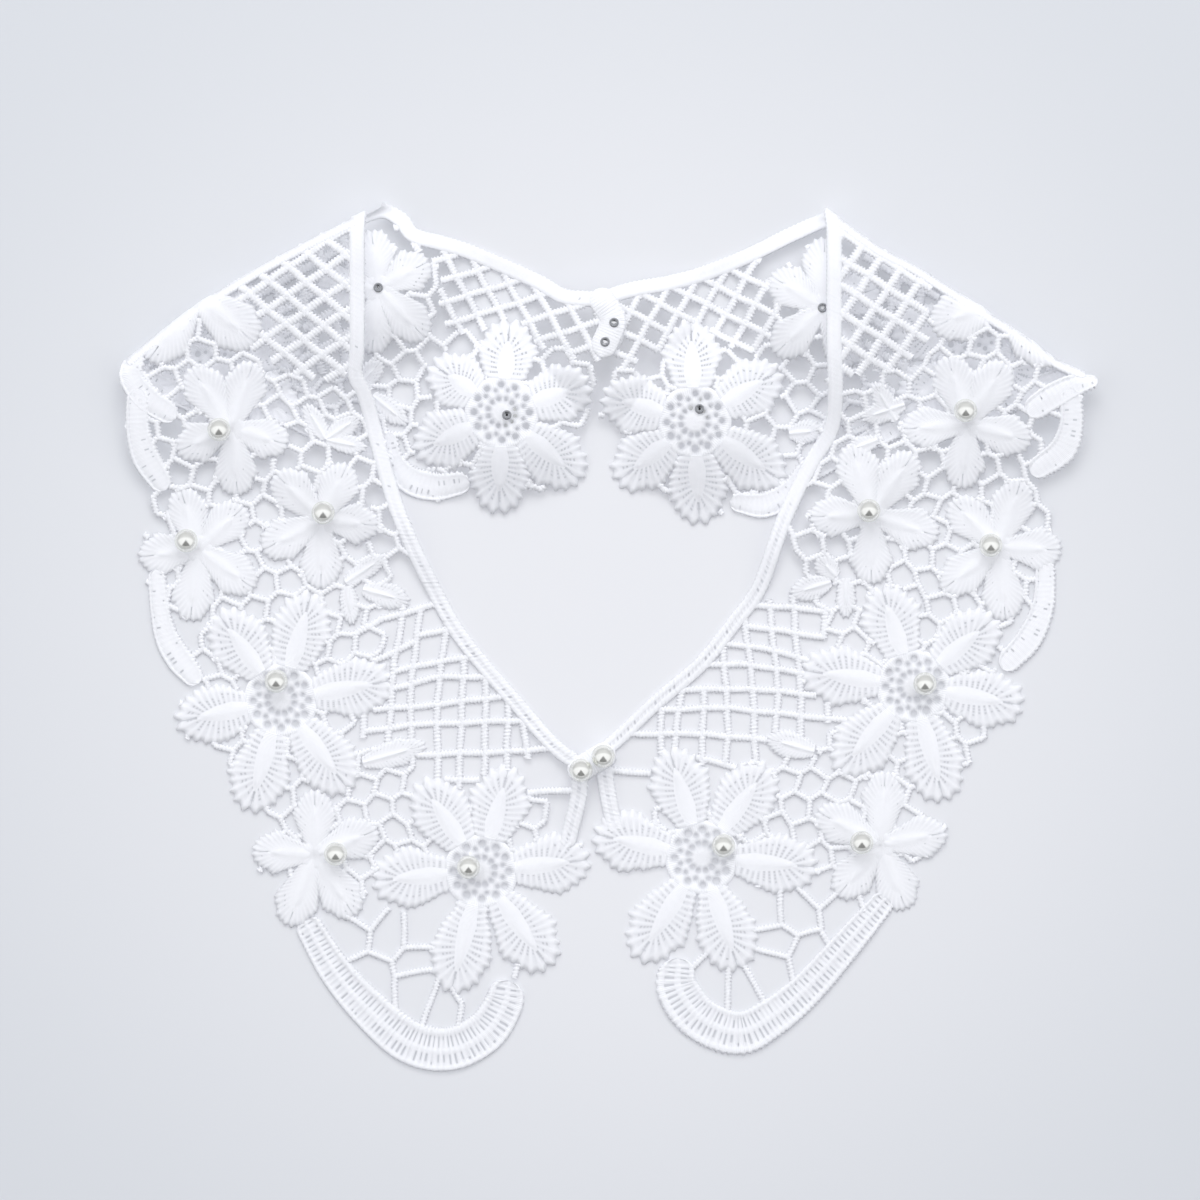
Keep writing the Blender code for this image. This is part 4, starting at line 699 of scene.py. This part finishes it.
def ladder_band(cloth, line, columns, pitch, slit, often, slant=0.0, shown=None, ragged=1.0, base=0.0,
                tail=1.0):
    """A band or crescent of stitches with rows of slits: columns are share, height, shade, bumps.

    Shown says how plain the slits are at a place, from none to all.
    """
    mid, places = smooth_line(round_ended(line, tail), 0.5)
    length = places[-1]
    count = max(2, round(length / pitch))
    drift = 0.22 * (rng.random(count) - 0.5)
    slits = slit * (0.6 + 0.7 * rng.random(count))
    marks = np.concatenate([(k + np.array([d, d + w, w + (1 - w) * 0.4, w + (1 - w) * 0.7])) * length / count
                            for k, d, w in zip(range(count), drift, slits)])
    marks = np.append(marks, length)
    marks[0] = 0.0
    tangent = np.gradient(mid[:, :2], axis=0)
    tangent /= np.maximum(np.hypot(*tangent.T), 1 / FAR)[:, None]
    half = mid[:, 2] / 2
    ends = np.minimum(places, length - places)
    reach = np.maximum(half * (0.4 + 0.6 * tail), 0.5)
    half = half * np.sqrt(np.clip(1 - np.clip(1 - ends / reach, 0, 1) ** 2, 0.0004, 1))
    x, y, raised, painted_shade, across = [], [], [], [], []
    bar = np.append(np.tile([0.0, 0.0, 1.0, 1.0], count), 0.0)
    plain = np.ones(len(marks))
    if shown is not None:
        plain = plain * shown(np.interp(marks, places, mid[:, 0]), np.interp(marks, places, mid[:, 1]))
    for share, height, shade, bumps in columns[0]:
        at = np.clip(marks + slant * share * np.interp(marks, places, mid[:, 2]) / 2, 0, length)
        cx, cy, tx, ty, w = (np.interp(at, places, v) for v in
                             (mid[:, 0], mid[:, 1], tangent[:, 0], tangent[:, 1], half))
        wave = ragged * bumps * np.sin(math.tau * at / 1.5 + share + 0.9 * np.sin(at / 2.1))
        x.append(cx - ty * (w * share + wave * np.sign(share)))
        y.append(cy + tx * (w * share + wave * np.sign(share)))
        inner = abs(share) < 0.7
        rung = (0.02 + 0.07 * plain) * bar * (height > 0.3)
        raised.append(base + height + rung + inner * (1 - plain) * (1.4 - height))
        # Painted shade in the slits and along the edges, lighter on the rungs and where the slits are less
        # plain
        painted_shade.append(shade * (1 - 0.8 * bar) * (plain if inner else 1.0))
        across.append(w * share)
    grids = [np.stack(v, axis=1) for v in (x, y, raised, painted_shade, across)]
    kept = np.ones((len(marks) - 1, len(columns[0]) - 1), dtype=bool)
    wide = np.interp(marks, places, half)
    for row in range(4, len(marks) - 5, 4):
        for column, chance in columns[1]:
            if rng.random() < often * chance * plain[row] and wide[row] > 0.8 * mid[:, 2].min() / 2:
                kept[row, column] = False
    cloth.add(*grids[:4], np.broadcast_to(marks[:, None], grids[0].shape), grids[4], kept)


# Across a crescent: share of the half width, height, shade, edge bumps; then the columns that open
CRESCENT_COLUMNS = (
    ((-1.0, 0.05, 0.5, 0.06), (-1.0, 0.9, 0.3, 0.06), (-0.90, 1.45, 0.0, 0.0), (-0.78, 1.30, 0.1, 0.0),
     (-0.70, 1.10, 0.25, 0.0), (-0.58, 1.10, 0.3, 0.0), (-0.24, 1.10, 0.25, 0.0), (-0.16, 1.25, 0.1, 0.0),
     (0.02, 1.25, 0.1, 0.0), (0.10, 1.10, 0.25, 0.0), (0.44, 1.10, 0.3, 0.0), (0.60, 1.10, 0.25, 0.0),
     (0.67, 1.3, 0.1, 0.0), (0.86, 1.55, 0.0, 0.0), (1.0, 0.9, 0.3, 0.22), (1.0, 0.05, 0.5, 0.22)),
    ((4, 0.45), (5, 0.85), (9, 1.0), (10, 0.7)))
# Across the neck band and the front edges
BAND_COLUMNS = (
    ((-1.0, 0.05, 0.5, 0.06), (-1.0, 0.9, 0.3, 0.06), (-0.80, 1.5, 0.0, 0.0), (-0.34, 1.42, 0.0, 0.0),
     (-0.22, 1.25, 0.4, 0.0), (0.12, 1.25, 0.4, 0.0), (0.24, 1.38, 0.0, 0.0), (0.80, 1.45, 0.0, 0.0),
     (1.0, 0.9, 0.3, 0.16), (1.0, 0.05, 0.5, 0.16)),
    ((4, 1.0),))
TAB_COLUMNS = (
    ((-1.0, 0.05, 0.4, 0.05), (-1.0, 1.0, 0.2, 0.05), (-0.85, 1.5, 0.0, 0.0), (0.0, 1.6, 0.0, 0.0),
     (0.85, 1.5, 0.0, 0.0), (1.0, 1.0, 0.2, 0.05), (1.0, 0.05, 0.4, 0.05)),
    ())


def eyelet_disc(cloth, x, y, edge):
    """The round middle of a big flower, pierced with rings of small holes."""
    spokes = 132
    radii = np.array([0.05, 1.2, 2.6, 3.3, 3.75, 4.15, 4.6, 5.05, 5.45, 5.9, 6.4, 6.9, 7.35, 7.8, 8.2, 8.6,
                      9.05, 9.5, 9.95, 10.4, 11.0, 11.7, edge])
    turns = np.linspace(0, math.tau, spokes + 1)
    r, a = np.meshgrid(radii, turns, indexing="ij")
    spots = []
    for ring, count, size, shift in ((4.6, 12, 0.70, 0.5), (7.5, 12, 0.55, 0.5), (9.2, 12, 0.96, 0.0)):
        for k in range(count):
            turn = math.tau * (k + shift + 0.16 * (rng.random() - 0.5)) / count
            spots.append((ring * math.cos(turn), ring * math.sin(turn), size * (0.88 + 0.24 * rng.random())))
    px, py = r * np.cos(a), r * np.sin(a)
    gap = np.full(r.shape, FAR)
    for sx, sy, size in spots:
        away = np.hypot(px - sx, py - sy) - size
        near = np.abs(away) < 0.27
        dx, dy = px - sx, py - sy
        full = np.maximum(np.hypot(dx, dy), 1 / FAR)
        px = np.where(near, sx + dx / full * size, px)
        py = np.where(near, sy + dy / full * size, py)
        gap = np.minimum(gap, np.where(near, 0.0, away))
    middle = 0.25 * (gap[:-1, :-1] + gap[1:, :-1] + gap[1:, 1:] + gap[:-1, 1:])
    rim = np.clip(gap / 1.1, 0, 1)
    dome = 1.05 + 0.35 * np.exp(-(r / 3.2) ** 4) + 0.25 * np.exp(-((r - 11) / 1.2) ** 2)
    raised = dome + 0.25 * rim - 0.15
    raised = np.where(r >= edge, 0.9, raised)
    # The fifth value is painted shade round each hole, fading out within 1.1 mm of its edge
    cloth.add(x + px, y + py, raised, 0.7 * (1 - rim), r * 0 + a * 6, r, middle > 0)


def flower_hub(cloth, x, y, radius):
    """The small satin-stitched middle of a five-petal flower."""
    radii = np.array([0.01, 0.35, 0.65, 0.88, 1.0]) * radius
    r, a = np.meshgrid(radii, np.linspace(0, math.tau, 49), indexing="ij")
    ripple = 0.03 * np.cos(a * 24)
    r = r * (1 + 0.06 * np.cos(a * 5 + x) * (r > 0.8 * radius))
    raised = np.interp(r / radius, [0, 0.65, 0.88, 1.0], [1.85, 1.80, 1.65, 1.38]) + ripple
    # A faint painted shade, lighter on the ripples' crests
    cloth.add(x + r * np.cos(a), y + r * np.sin(a), raised, 0.06 - ripple, a * radius, r)


def stitched(strip):
    """All the lace of one strip."""
    cloth = Cloth(strip)
    strokes = motif_strokes(strip)

    def covered(px, py):
        nearest = np.full(np.shape(px), FAR)
        for stations in strokes:
            nearest = np.minimum(nearest, stroke_distance(px, py, stations))
        return nearest

    order = 0
    for name, x, y, kind, angles, reaches, _, _ in FLOWERS:
        if name != strip:
            continue
        start = {"big": 11.2, "small": 1.6, "fold": 1.6}[kind]
        for angle, reach in zip(angles, reaches):
            order += 1
            petal(cloth, kind, x, y, angle, start, reach, PETAL_PROFILES[kind], PETAL_TIP,
                  PETAL_WIDTH[kind], 0.12 * (order % 3))
        if kind == "big":
            eyelet_disc(cloth, x, y, 12.3)
        else:
            flower_hub(cloth, x, y, 4.8)
    for name, x0, y0, x1, y1, width in LEAVES:
        if name == strip:
            reach = math.dist((x0, y0), (x1, y1))
            angle = math.degrees(math.atan2(y1 - y0, x1 - x0))
            profile = ((0.0, 0.2), (0.25, 0.42), (0.55, 0.5), (0.75, 0.42))
            petal(cloth, "leaf", x0, y0, angle, 0.3, reach, profile, 0.22, width)
    for name, rows in CRESCENTS:
        if name == strip:
            hem = max(row[2] for row in rows) > 12
            ladder_band(cloth, rows, CRESCENT_COLUMNS, 1.75, 0.30, 0.93, ragged=1.6 if hem else 2.2,
                        shown=lambda px, py: 1.0 if hem else 0.18, tail=0.45 if hem else 1.0)
    for name, width, line in BANDS:
        if name == strip:
            rows = [(x, y, width) for x, y in line]
            if width > 2 * TAB_RADIUS - 0.1:
                ladder_band(cloth, rows, TAB_COLUMNS, 1.0, 0.3, 0.0, base=0.1)
            else:
                ladder_band(cloth, rows, BAND_COLUMNS, 1.6, 0.40, 0.45, slant=0.5,
                            shown=lambda px, py: np.clip((48 - py) / 16, 0.04, 0.75))
    for side, line in FOLD_EDGES.items():
        if side == side_of(strip):
            ladder_band(cloth, [(x, y, 3.0) for x, y in line], TAB_COLUMNS, 1.0, 0.3, 0.0, base=-0.1)

    def bare(px, py):
        return (covered(px, py) > -1.1) & (inward(strip, px, py)[0] > 0.3)

    bars = [np.array(row[1:], dtype=float).reshape(2, 2) for row in FRONT_BARS if row[0] == strip]
    brides = [np.array(row[1:], dtype=float).reshape(2, 2) for row in HEM_BRIDES if row[0] == strip]
    nodes = [tuple(end) for bride in brides for end in bride]
    for first, second in brides:
        ahead = (second - first) / math.dist(first, second)
        ends = [end + way * (0.0 if nodes.count(tuple(end)) > 1 else 2.4)
                for end, way in ((first, -ahead), (second, ahead))]
        picot_bar(cloth, ends, BRIDE_WIDTH, lambda px, py: covered(px, py) > -1.6)
    for number, (first, second) in enumerate(bars):
        ahead = (second - first) / math.dist(first, second)
        others = bars[:number] + bars[number + 1:]
        ends = (joined_end(first, -ahead, others, covered), joined_end(second, ahead, others, covered))
        picot_bar(cloth, ends, BAR_WIDTH, bare)
    for name, cx, cy, first, second, spacing, region in LATTICES:
        if name == strip:
            for x0, y0, x1, y1 in lattice_bars(cx, cy, (first, second), spacing, region):
                picot_bar(cloth, ((x0, y0), (x1, y1)), 2.7 if abs(cx) > 80 else 2.3,
                          lambda px, py: bare(px, py) & (region_distance(px, py, region) < 0.8))
    for name, spacing, turn, region in NETS:
        if name == strip:
            for x0, y0, x1, y1 in net_brides(spacing, turn, region, covered):
                picot_bar(cloth, ((x0, y0), (x1, y1)), BRIDE_WIDTH, bare)
    return cloth


def cloth_object(cloth, name, finish):
    """The mesh of a strip's lace, in place, with its stitch map and the painted shade of its hollows."""
    data = np.vstack(cloth.points)
    faces = np.vstack(cloth.faces)
    # Stitches that would pass the shoulder fold end on it
    distance, gx, gy = from_fold(cloth.strip, data[:, 0], data[:, 1])
    short = np.clip(0.01 - distance, 0.0, 6.0)
    data[:, 0] += gx * short
    data[:, 1] += gy * short
    faces = faces[(distance[faces] > 0.01).any(axis=1)]
    used, faces = np.unique(faces, return_inverse=True)
    faces = faces.reshape(-1, 4)
    data = data[used]
    x, y, raised, painted_shade, along, across = data.T
    # The lower layer under the shoulders keeps only 0.3 of its painted shade, which paints it lighter where the
    # front layer shades it
    if cloth.strip.startswith("back"):
        painted_shade = painted_shade * np.where(np.abs(x + 4) > 80, 0.3, 1.0)
    waves = 0.22 + 0.12 * np.sin(x / 9.0 + 1.3 * np.sin(y / 13.0)) + 0.1 * np.sin(y / 7.0 + x / 21.0)
    points = laid(cloth.strip, x, y, raised + np.where(raised > 0.3, waves - 0.2, 0.0))
    points = (points + [SHIFT_X, SHIFT_Y, 0.0]) * MM
    mesh = bpy.data.meshes.new(name)
    mesh.from_pydata(points.tolist(), [], faces.tolist())
    # Each point carries the painted shade that the lace's colour darkens by
    mesh.attributes.new("painted_shade", "FLOAT", "POINT").data.foreach_set("value", np.clip(painted_shade, 0, 1))
    corner = np.zeros(len(mesh.loops), dtype=np.int32)
    mesh.loops.foreach_get("vertex_index", corner)
    stitches = mesh.uv_layers.new(name="stitches")
    stitches.data.foreach_set("uv", np.stack([along[corner], across[corner]], axis=1).ravel())
    work = bmesh.new()
    work.from_mesh(mesh)
    bmesh.ops.remove_doubles(work, verts=work.verts, dist=0.02 * MM)
    work.to_mesh(mesh)
    work.free()
    mesh.shade_smooth()
    mesh.materials.append(finish)
    obj = bpy.data.objects.new(name, mesh)
    bpy.context.scene.collection.objects.link(obj)
    return obj


def linear(hex_colour):
    """An sRGB hex colour as linear values for a socket."""
    parts = [int(hex_colour[k:k + 2], 16) / 255 for k in (1, 3, 5)]
    return tuple(p / 12.92 if p <= 0.04045 else ((p + 0.055) / 1.055) ** 2.4 for p in parts) + (1.0,)


def node(tree, kind, settings=None, values=None, links=None):
    """Adds a node with its settings, its socket values and the links into it."""
    made = tree.nodes.new(kind)
    for key, value in (settings or {}).items():
        setattr(made, key, value)
    for key, value in (values or {}).items():
        made.inputs[key].default_value = value
    for key, source in (links or {}).items():
        tree.links.new(source, made.inputs[key])
    return made


def new_material(name):
    made = bpy.data.materials.new(name)
    made.use_nodes = True
    made.node_tree.nodes.clear()
    return made


def finished(made, shader):
    node(made.node_tree, "ShaderNodeOutputMaterial", links={"Surface": shader.outputs["BSDF"]})
    return made


def satin_stitched_cotton():
    """Mercerised cotton thread laid in satin stitch: near white, soft, with a faint silky sheen."""
    made = new_material("satin_stitched_cotton")
    tree = made.node_tree
    stitches = node(tree, "ShaderNodeUVMap", {"uv_map": "stitches"})
    place = node(tree, "ShaderNodeTexCoord")
    painted_shade = node(tree, "ShaderNodeAttribute", {"attribute_name": "painted_shade"})
    # Threads lie 0.42 mm apart, and the wave repeats every 0.314 / scale of the stitch map's millimetres
    thread = node(tree, "ShaderNodeTexWave", {"bands_direction": "X"},
                  {"Scale": 0.314 / 0.42, "Distortion": 1.2, "Detail": 2.0, "Detail Scale": 1.5},
                  {"Vector": stitches.outputs["UV"]})
    # Loose fibres and uneven tension, in spots of about 1.5 mm
    fibre = node(tree, "ShaderNodeTexNoise", {}, {"Scale": 650.0, "Detail": 3.0, "Roughness": 0.6},
                 {"Vector": place.outputs["Object"]})
    # Painted shade: three quarters of each point's painted shade turns the near white towards grey #ABADB5 in
    # grooves, slits, hole rims and bar edges
    painted_shade_mix = node(tree, "ShaderNodeMath", {"operation": "MULTIPLY"}, {1: 0.75},
                   {0: painted_shade.outputs["Fac"]})
    colour = node(tree, "ShaderNodeMix", {"data_type": "RGBA"},
                  {"A": linear("#F6F7FB"), "B": linear("#ABADB5")}, {"Factor": painted_shade_mix.outputs[0]})
    mottle = node(tree, "ShaderNodeMapRange", {}, {"To Min": 0.955, "To Max": 1.0},
                  {"Value": fibre.outputs["Fac"]})
    toned = node(tree, "ShaderNodeMix", {"data_type": "RGBA", "blend_type": "MULTIPLY"},
                 {"Factor": 1.0}, {"A": colour.outputs["Result"], "B": mottle.outputs["Result"]})
    height = node(tree, "ShaderNodeMath", {"operation": "MULTIPLY_ADD"}, {1: 0.5},
                  {0: fibre.outputs["Fac"], 2: thread.outputs["Fac"]})
    bump = node(tree, "ShaderNodeBump", {}, {"Strength": 0.35, "Distance": 0.0002},
                {"Height": height.outputs[0]})
    shader = node(tree, "ShaderNodeBsdfPrincipled", {},
                  {"Roughness": 0.62, "Sheen Weight": 0.12, "Sheen Roughness": 0.4,
                   "Specular IOR Level": 0.3},
                  {"Base Color": toned.outputs["Result"], "Normal": bump.outputs["Normal"]})
    # The open stitches let about a seventh of the light through to the layer below
    through = node(tree, "ShaderNodeBsdfTranslucent", {}, {}, {"Color": toned.outputs["Result"]})
    lace = node(tree, "ShaderNodeMixShader", {}, {"Fac": 0.14},
                {1: shader.outputs["BSDF"], 2: through.outputs["BSDF"]})
    node(tree, "ShaderNodeOutputMaterial", links={"Surface": lace.outputs["Shader"]})
    return made


def pearl_lacquer():
    """Moulded plastic bead under pearl lacquer: warm grey white with a clear glossy coat."""
    made = new_material("pearl_lacquer")
    tree = made.node_tree
    place = node(tree, "ShaderNodeTexCoord")
    # Lacquer pools in cloudy patches of about 3 mm
    cloud = node(tree, "ShaderNodeTexNoise", {}, {"Scale": 330.0, "Detail": 2.0},
                 {"Vector": place.outputs["Object"]})
    # Painted shade: the colour greys towards the rim, where the ball turns away from the eye
    edge = node(tree, "ShaderNodeLayerWeight", {}, {"Blend": 0.45})
    pearl = node(tree, "ShaderNodeMix", {"data_type": "RGBA"},
                 {"A": linear("#F4F5F0"), "B": linear("#FBFBF8")}, {"Factor": cloud.outputs["Fac"]})
    rim = node(tree, "ShaderNodeMix", {"data_type": "RGBA"}, {"B": linear("#E6E7E0")},
               {"A": pearl.outputs["Result"], "Factor": edge.outputs["Facing"]})
    shader = node(tree, "ShaderNodeBsdfPrincipled", {},
                  {"Metallic": 0.72, "Roughness": 0.10, "Coat Weight": 0.5, "Coat Roughness": 0.04},
                  {"Base Color": rim.outputs["Result"]})
    return finished(made, shader)


def nickel_plate():
    """Nickel-plated steel rivet: bright grey metal with fine handling marks."""
    made = new_material("nickel_plate")
    tree = made.node_tree
    place = node(tree, "ShaderNodeTexCoord")
    # Marks of about 0.3 mm
    marks = node(tree, "ShaderNodeTexNoise", {}, {"Scale": 3000.0, "Detail": 2.0},
                 {"Vector": place.outputs["Object"]})
    gloss = node(tree, "ShaderNodeMapRange", {}, {"To Min": 0.16, "To Max": 0.34},
                 {"Value": marks.outputs["Fac"]})
    shader = node(tree, "ShaderNodeBsdfPrincipled", {},
                  {"Base Color": linear("#B4B6BA"), "Metallic": 1.0},
                  {"Roughness": gloss.outputs["Result"]})
    return finished(made, shader)


def bore_shadow_paint():
    """Painted shadow at the bottom of a rivet's hole: a nearly black finish that stands in for the shade down
    the hole.
    """
    made = new_material("painted_bore_shadow")
    shader = node(made.node_tree, "ShaderNodeBsdfPrincipled", {},
                  {"Base Color": linear("#202124"), "Metallic": 0.4, "Roughness": 0.6})
    return finished(made, shader)


def pale_table():
    """Matt painted board that the collar lies on."""
    made = new_material("pale_table")
    tree = made.node_tree
    place = node(tree, "ShaderNodeTexCoord")
    # Faint unevenness of the paint, in patches of about 200 mm
    patch = node(tree, "ShaderNodeTexNoise", {}, {"Scale": 5.0, "Detail": 1.0},
                 {"Vector": place.outputs["Object"]})
    # The board is lighter round its middle, where the collar lies, and darker from about 100 to 300 mm away
    away = node(tree, "ShaderNodeVectorMath", {"operation": "LENGTH"}, {},
                {0: place.outputs["Object"]})
    outward_darkening = node(tree, "ShaderNodeMapRange", {"interpolation_type": "SMOOTHSTEP"},
                {"From Min": 0.06, "From Max": 0.30}, {"Value": away.outputs["Value"]})
    patchy_tone = node(tree, "ShaderNodeMix", {"data_type": "RGBA"},
                 {"A": linear("#DADBDF"), "B": linear("#DDDEE2")}, {"Factor": patch.outputs["Fac"]})
    colour = node(tree, "ShaderNodeMix", {"data_type": "RGBA"}, {"B": linear("#CBCED3")},
                  {"A": patchy_tone.outputs["Result"], "Factor": outward_darkening.outputs["Result"]})
    shader = node(tree, "ShaderNodeBsdfPrincipled", {}, {"Roughness": 0.8, "Specular IOR Level": 0.2},
                  {"Base Color": colour.outputs["Result"]})
    return finished(made, shader)


def select_only(obj):
    bpy.ops.object.select_all(action="DESELECT")
    obj.select_set(True)
    bpy.context.view_layer.objects.active = obj


def pearl_bead(finish):
    """One pearl: a ball with a small flat seat, its middle set in a little."""
    bpy.ops.object.select_all(action="DESELECT")
    bpy.ops.mesh.primitive_uv_sphere_add(segments=48, ring_count=28, radius=PEARL_DIAMETER / 2 * MM)
    bead = bpy.context.active_object
    bpy.ops.object.mode_set(mode="EDIT")
    bpy.ops.mesh.select_all(action="SELECT")
    bpy.ops.mesh.bisect(plane_co=(0, 0, -0.94 * PEARL_DIAMETER / 2 * MM), plane_no=(0, 0, 1),
                        use_fill=True, clear_inner=True)
    bpy.ops.mesh.inset(thickness=0.35 * MM)
    bpy.ops.transform.translate(value=(0, 0, 0.15 * MM))
    bpy.ops.object.mode_set(mode="OBJECT")
    bead.data.shade_smooth()
    bead.data.set_sharp_from_angle(angle=math.radians(40))
    bead.data.materials.append(finish)
    return bead


def rivet_end(finish, bore):
    """One rivet's end: a rolled ring round a small hollow with a dark bore."""
    bpy.ops.object.select_all(action="DESELECT")
    bpy.ops.mesh.primitive_cylinder_add(vertices=40, radius=RIVET_RADIUS * MM, depth=0.6 * MM,
                                        location=(0, 0, 0))
    ring = bpy.context.active_object
    bpy.ops.object.mode_set(mode="EDIT")
    work = bmesh.from_edit_mesh(ring.data)
    for face in work.faces:
        face.select = face.normal.z > 0.9
    bmesh.update_edit_mesh(ring.data)
    bpy.ops.mesh.inset(thickness=0.75 * MM)
    bpy.ops.mesh.extrude_region_move(TRANSFORM_OT_translate={"value": (0, 0, -0.40 * MM)})
    bpy.ops.mesh.inset(thickness=0.46 * MM)
    bpy.ops.mesh.extrude_region_move(TRANSFORM_OT_translate={"value": (0, 0, -0.15 * MM)})
    ring.data.materials.append(finish)
    # The bottom of the hole takes the painted bore shadow, near black for the shade down the hole
    ring.data.materials.append(bore)
    ring.active_material_index = 1
    bpy.ops.object.material_slot_assign()
    bpy.ops.object.mode_set(mode="OBJECT")
    bevel = ring.modifiers.new("rolled", "BEVEL")
    bevel.width = 0.22 * MM
    bevel.segments = 4
    bevel.limit_method = "ANGLE"
    select_only(ring)
    bpy.ops.object.modifier_apply(modifier=bevel.name)
    ring.data.shade_smooth()
    return ring


def placed_copy(pattern, node_name):
    """A copy of a finished piece at the middle of the node that it replaces."""
    low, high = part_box(node_name)
    mesh = pattern.data.copy()
    middle = (low + high) / 2
    for vertex in mesh.vertices:
        vertex.co += Vector((middle.x, middle.y, middle.z))
    piece = bpy.data.objects.new(node_name + "_finished", mesh)
    bpy.context.scene.collection.objects.link(piece)
    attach(piece, "root")
    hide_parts(node_name)
    return piece


def lace_pieces():
    """The four strips of lace, each stitched as one mesh in place of its node."""
    finish = satin_stitched_cotton()
    pieces = {}
    for strip in ("back_left", "back_right", "front_left", "front_right"):
        piece = cloth_object(stitched(strip), "stitched_lace_" + strip, finish)
        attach(piece, "root")
        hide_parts("lace_" + strip)
        pieces[strip] = piece
    return pieces


def small_pieces():
    """Every pearl and rivet, each in place of its node."""
    bead, ring = pearl_bead(pearl_lacquer()), rivet_end(nickel_plate(), bore_shadow_paint())
    for name in sorted(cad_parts):
        if name.startswith("pearl"):
            placed_copy(bead, name)
        elif name.startswith("rivet"):
            placed_copy(ring, name)
    for pattern in (bead, ring):
        bpy.data.objects.remove(pattern, do_unlink=True)


def table_top():
    """The pale surface under the collar."""
    bpy.ops.object.select_all(action="DESELECT")
    bpy.ops.mesh.primitive_plane_add(size=8.0, location=(0, 0, 0))
    top = bpy.context.active_object
    top.name = "table_top"
    top.data.materials.append(pale_table())


def area_light(name, size, energy, place, colour):
    """A soft box that points at the collar."""
    data = bpy.data.lights.new(name, "AREA")
    data.shape = "RECTANGLE"
    data.size, data.size_y = size
    data.energy = energy
    data.color = linear(colour)[:3]
    lamp = bpy.data.objects.new(name, data)
    lamp.location = place
    lamp.rotation_mode = "QUATERNION"
    lamp.rotation_quaternion = (-Vector(place)).to_track_quat("-Z", "Y")
    lamp.visible_glossy = False
    bpy.context.scene.collection.objects.link(lamp)


# Parts of the pale tent overhead: light, then the inward normals of the planes that bound the part.
# A long bright ceiling panel, and in it the dark shape of the stand that looks down at the collar.
TENT_PARTS = (
    (0.42, ((0.0, -0.82, 0.57), (0.0, 0.423, 0.906))),
    (-1.00, ((-0.777, -0.625, 0.075), (0.777, -0.625, 0.075), (0.0, 0.482, 0.876))),
)


def studio():
    """A soft key from beyond the shoulders, a fill, and the pale tent round them."""
    area_light("window_light", (1.3, 0.9), 11.4, (0.0, 1.25, 1.3), "#FFFFFF")
    fill = bpy.data.lights.new("even_fill", "SUN")
    fill.energy = 1.17
    fill.use_shadow = False
    lamp = bpy.data.objects.new("even_fill", fill)
    lamp.rotation_mode = "QUATERNION"
    lamp.rotation_quaternion = Vector((0.0, -0.6, -0.8)).to_track_quat("-Z", "Y")
    lamp.visible_glossy = False
    bpy.context.scene.collection.objects.link(lamp)
    world = bpy.data.worlds.new("studio_tent")
    world.use_nodes = True
    tree = world.node_tree
    tree.nodes.clear()
    place = node(tree, "ShaderNodeTexCoord")
    height = node(tree, "ShaderNodeSeparateXYZ", links={0: place.outputs["Generated"]})
    # The walls are a little darker towards the table
    brightness = node(tree, "ShaderNodeMapRange", {"interpolation_type": "SMOOTHSTEP"},
                      {"From Min": -0.1, "From Max": 0.55, "To Min": 0.38, "To Max": 0.61},
                      {"Value": height.outputs["Z"]}).outputs["Result"]
    for light, planes in TENT_PARTS:
        within = None
        for normal in planes:
            depth = node(tree, "ShaderNodeVectorMath", {"operation": "DOT_PRODUCT"}, {1: normal},
                         {0: place.outputs["Generated"]})
            side = node(tree, "ShaderNodeMapRange", {"interpolation_type": "SMOOTHSTEP"},
                        {"From Min": -0.02, "From Max": 0.06}, {"Value": depth.outputs["Value"]})
            both = node(tree, "ShaderNodeMath", {"operation": "MULTIPLY"}, {1: 1.0},
                        {0: side.outputs["Result"]})
            if within:
                tree.links.new(within, both.inputs[1])
            within = both.outputs[0]
        brightness = node(tree, "ShaderNodeMath", {"operation": "MULTIPLY_ADD"}, {1: light},
                          {0: within, 2: brightness}).outputs[0]
    glow = node(tree, "ShaderNodeBackground", {}, {"Color": linear("#F6F7FA")},
                {"Strength": brightness})
    node(tree, "ShaderNodeOutputWorld", links={"Surface": glow.outputs["Background"]})
    bpy.context.scene.world = world
    bpy.context.scene.view_settings.view_transform = "Standard"


def camera():
    """Straight down, with the table 400 mm across in the square frame."""
    data = bpy.data.cameras.new("camera")
    data.sensor_width = 36.0
    height = 2.6
    data.lens = data.sensor_width * height / 0.4
    data.clip_end = 20.0
    made = bpy.data.objects.new("camera", data)
    made.location = ((600 - 608) / 3 * MM + SHIFT_X * MM, (638 - 600) / 3 * MM + SHIFT_Y * MM, height)
    bpy.context.scene.collection.objects.link(made)
    bpy.context.scene.camera = made


def build():
    camera()
    studio()
    table_top()
    pieces = lace_pieces()
    small_pieces()


build()
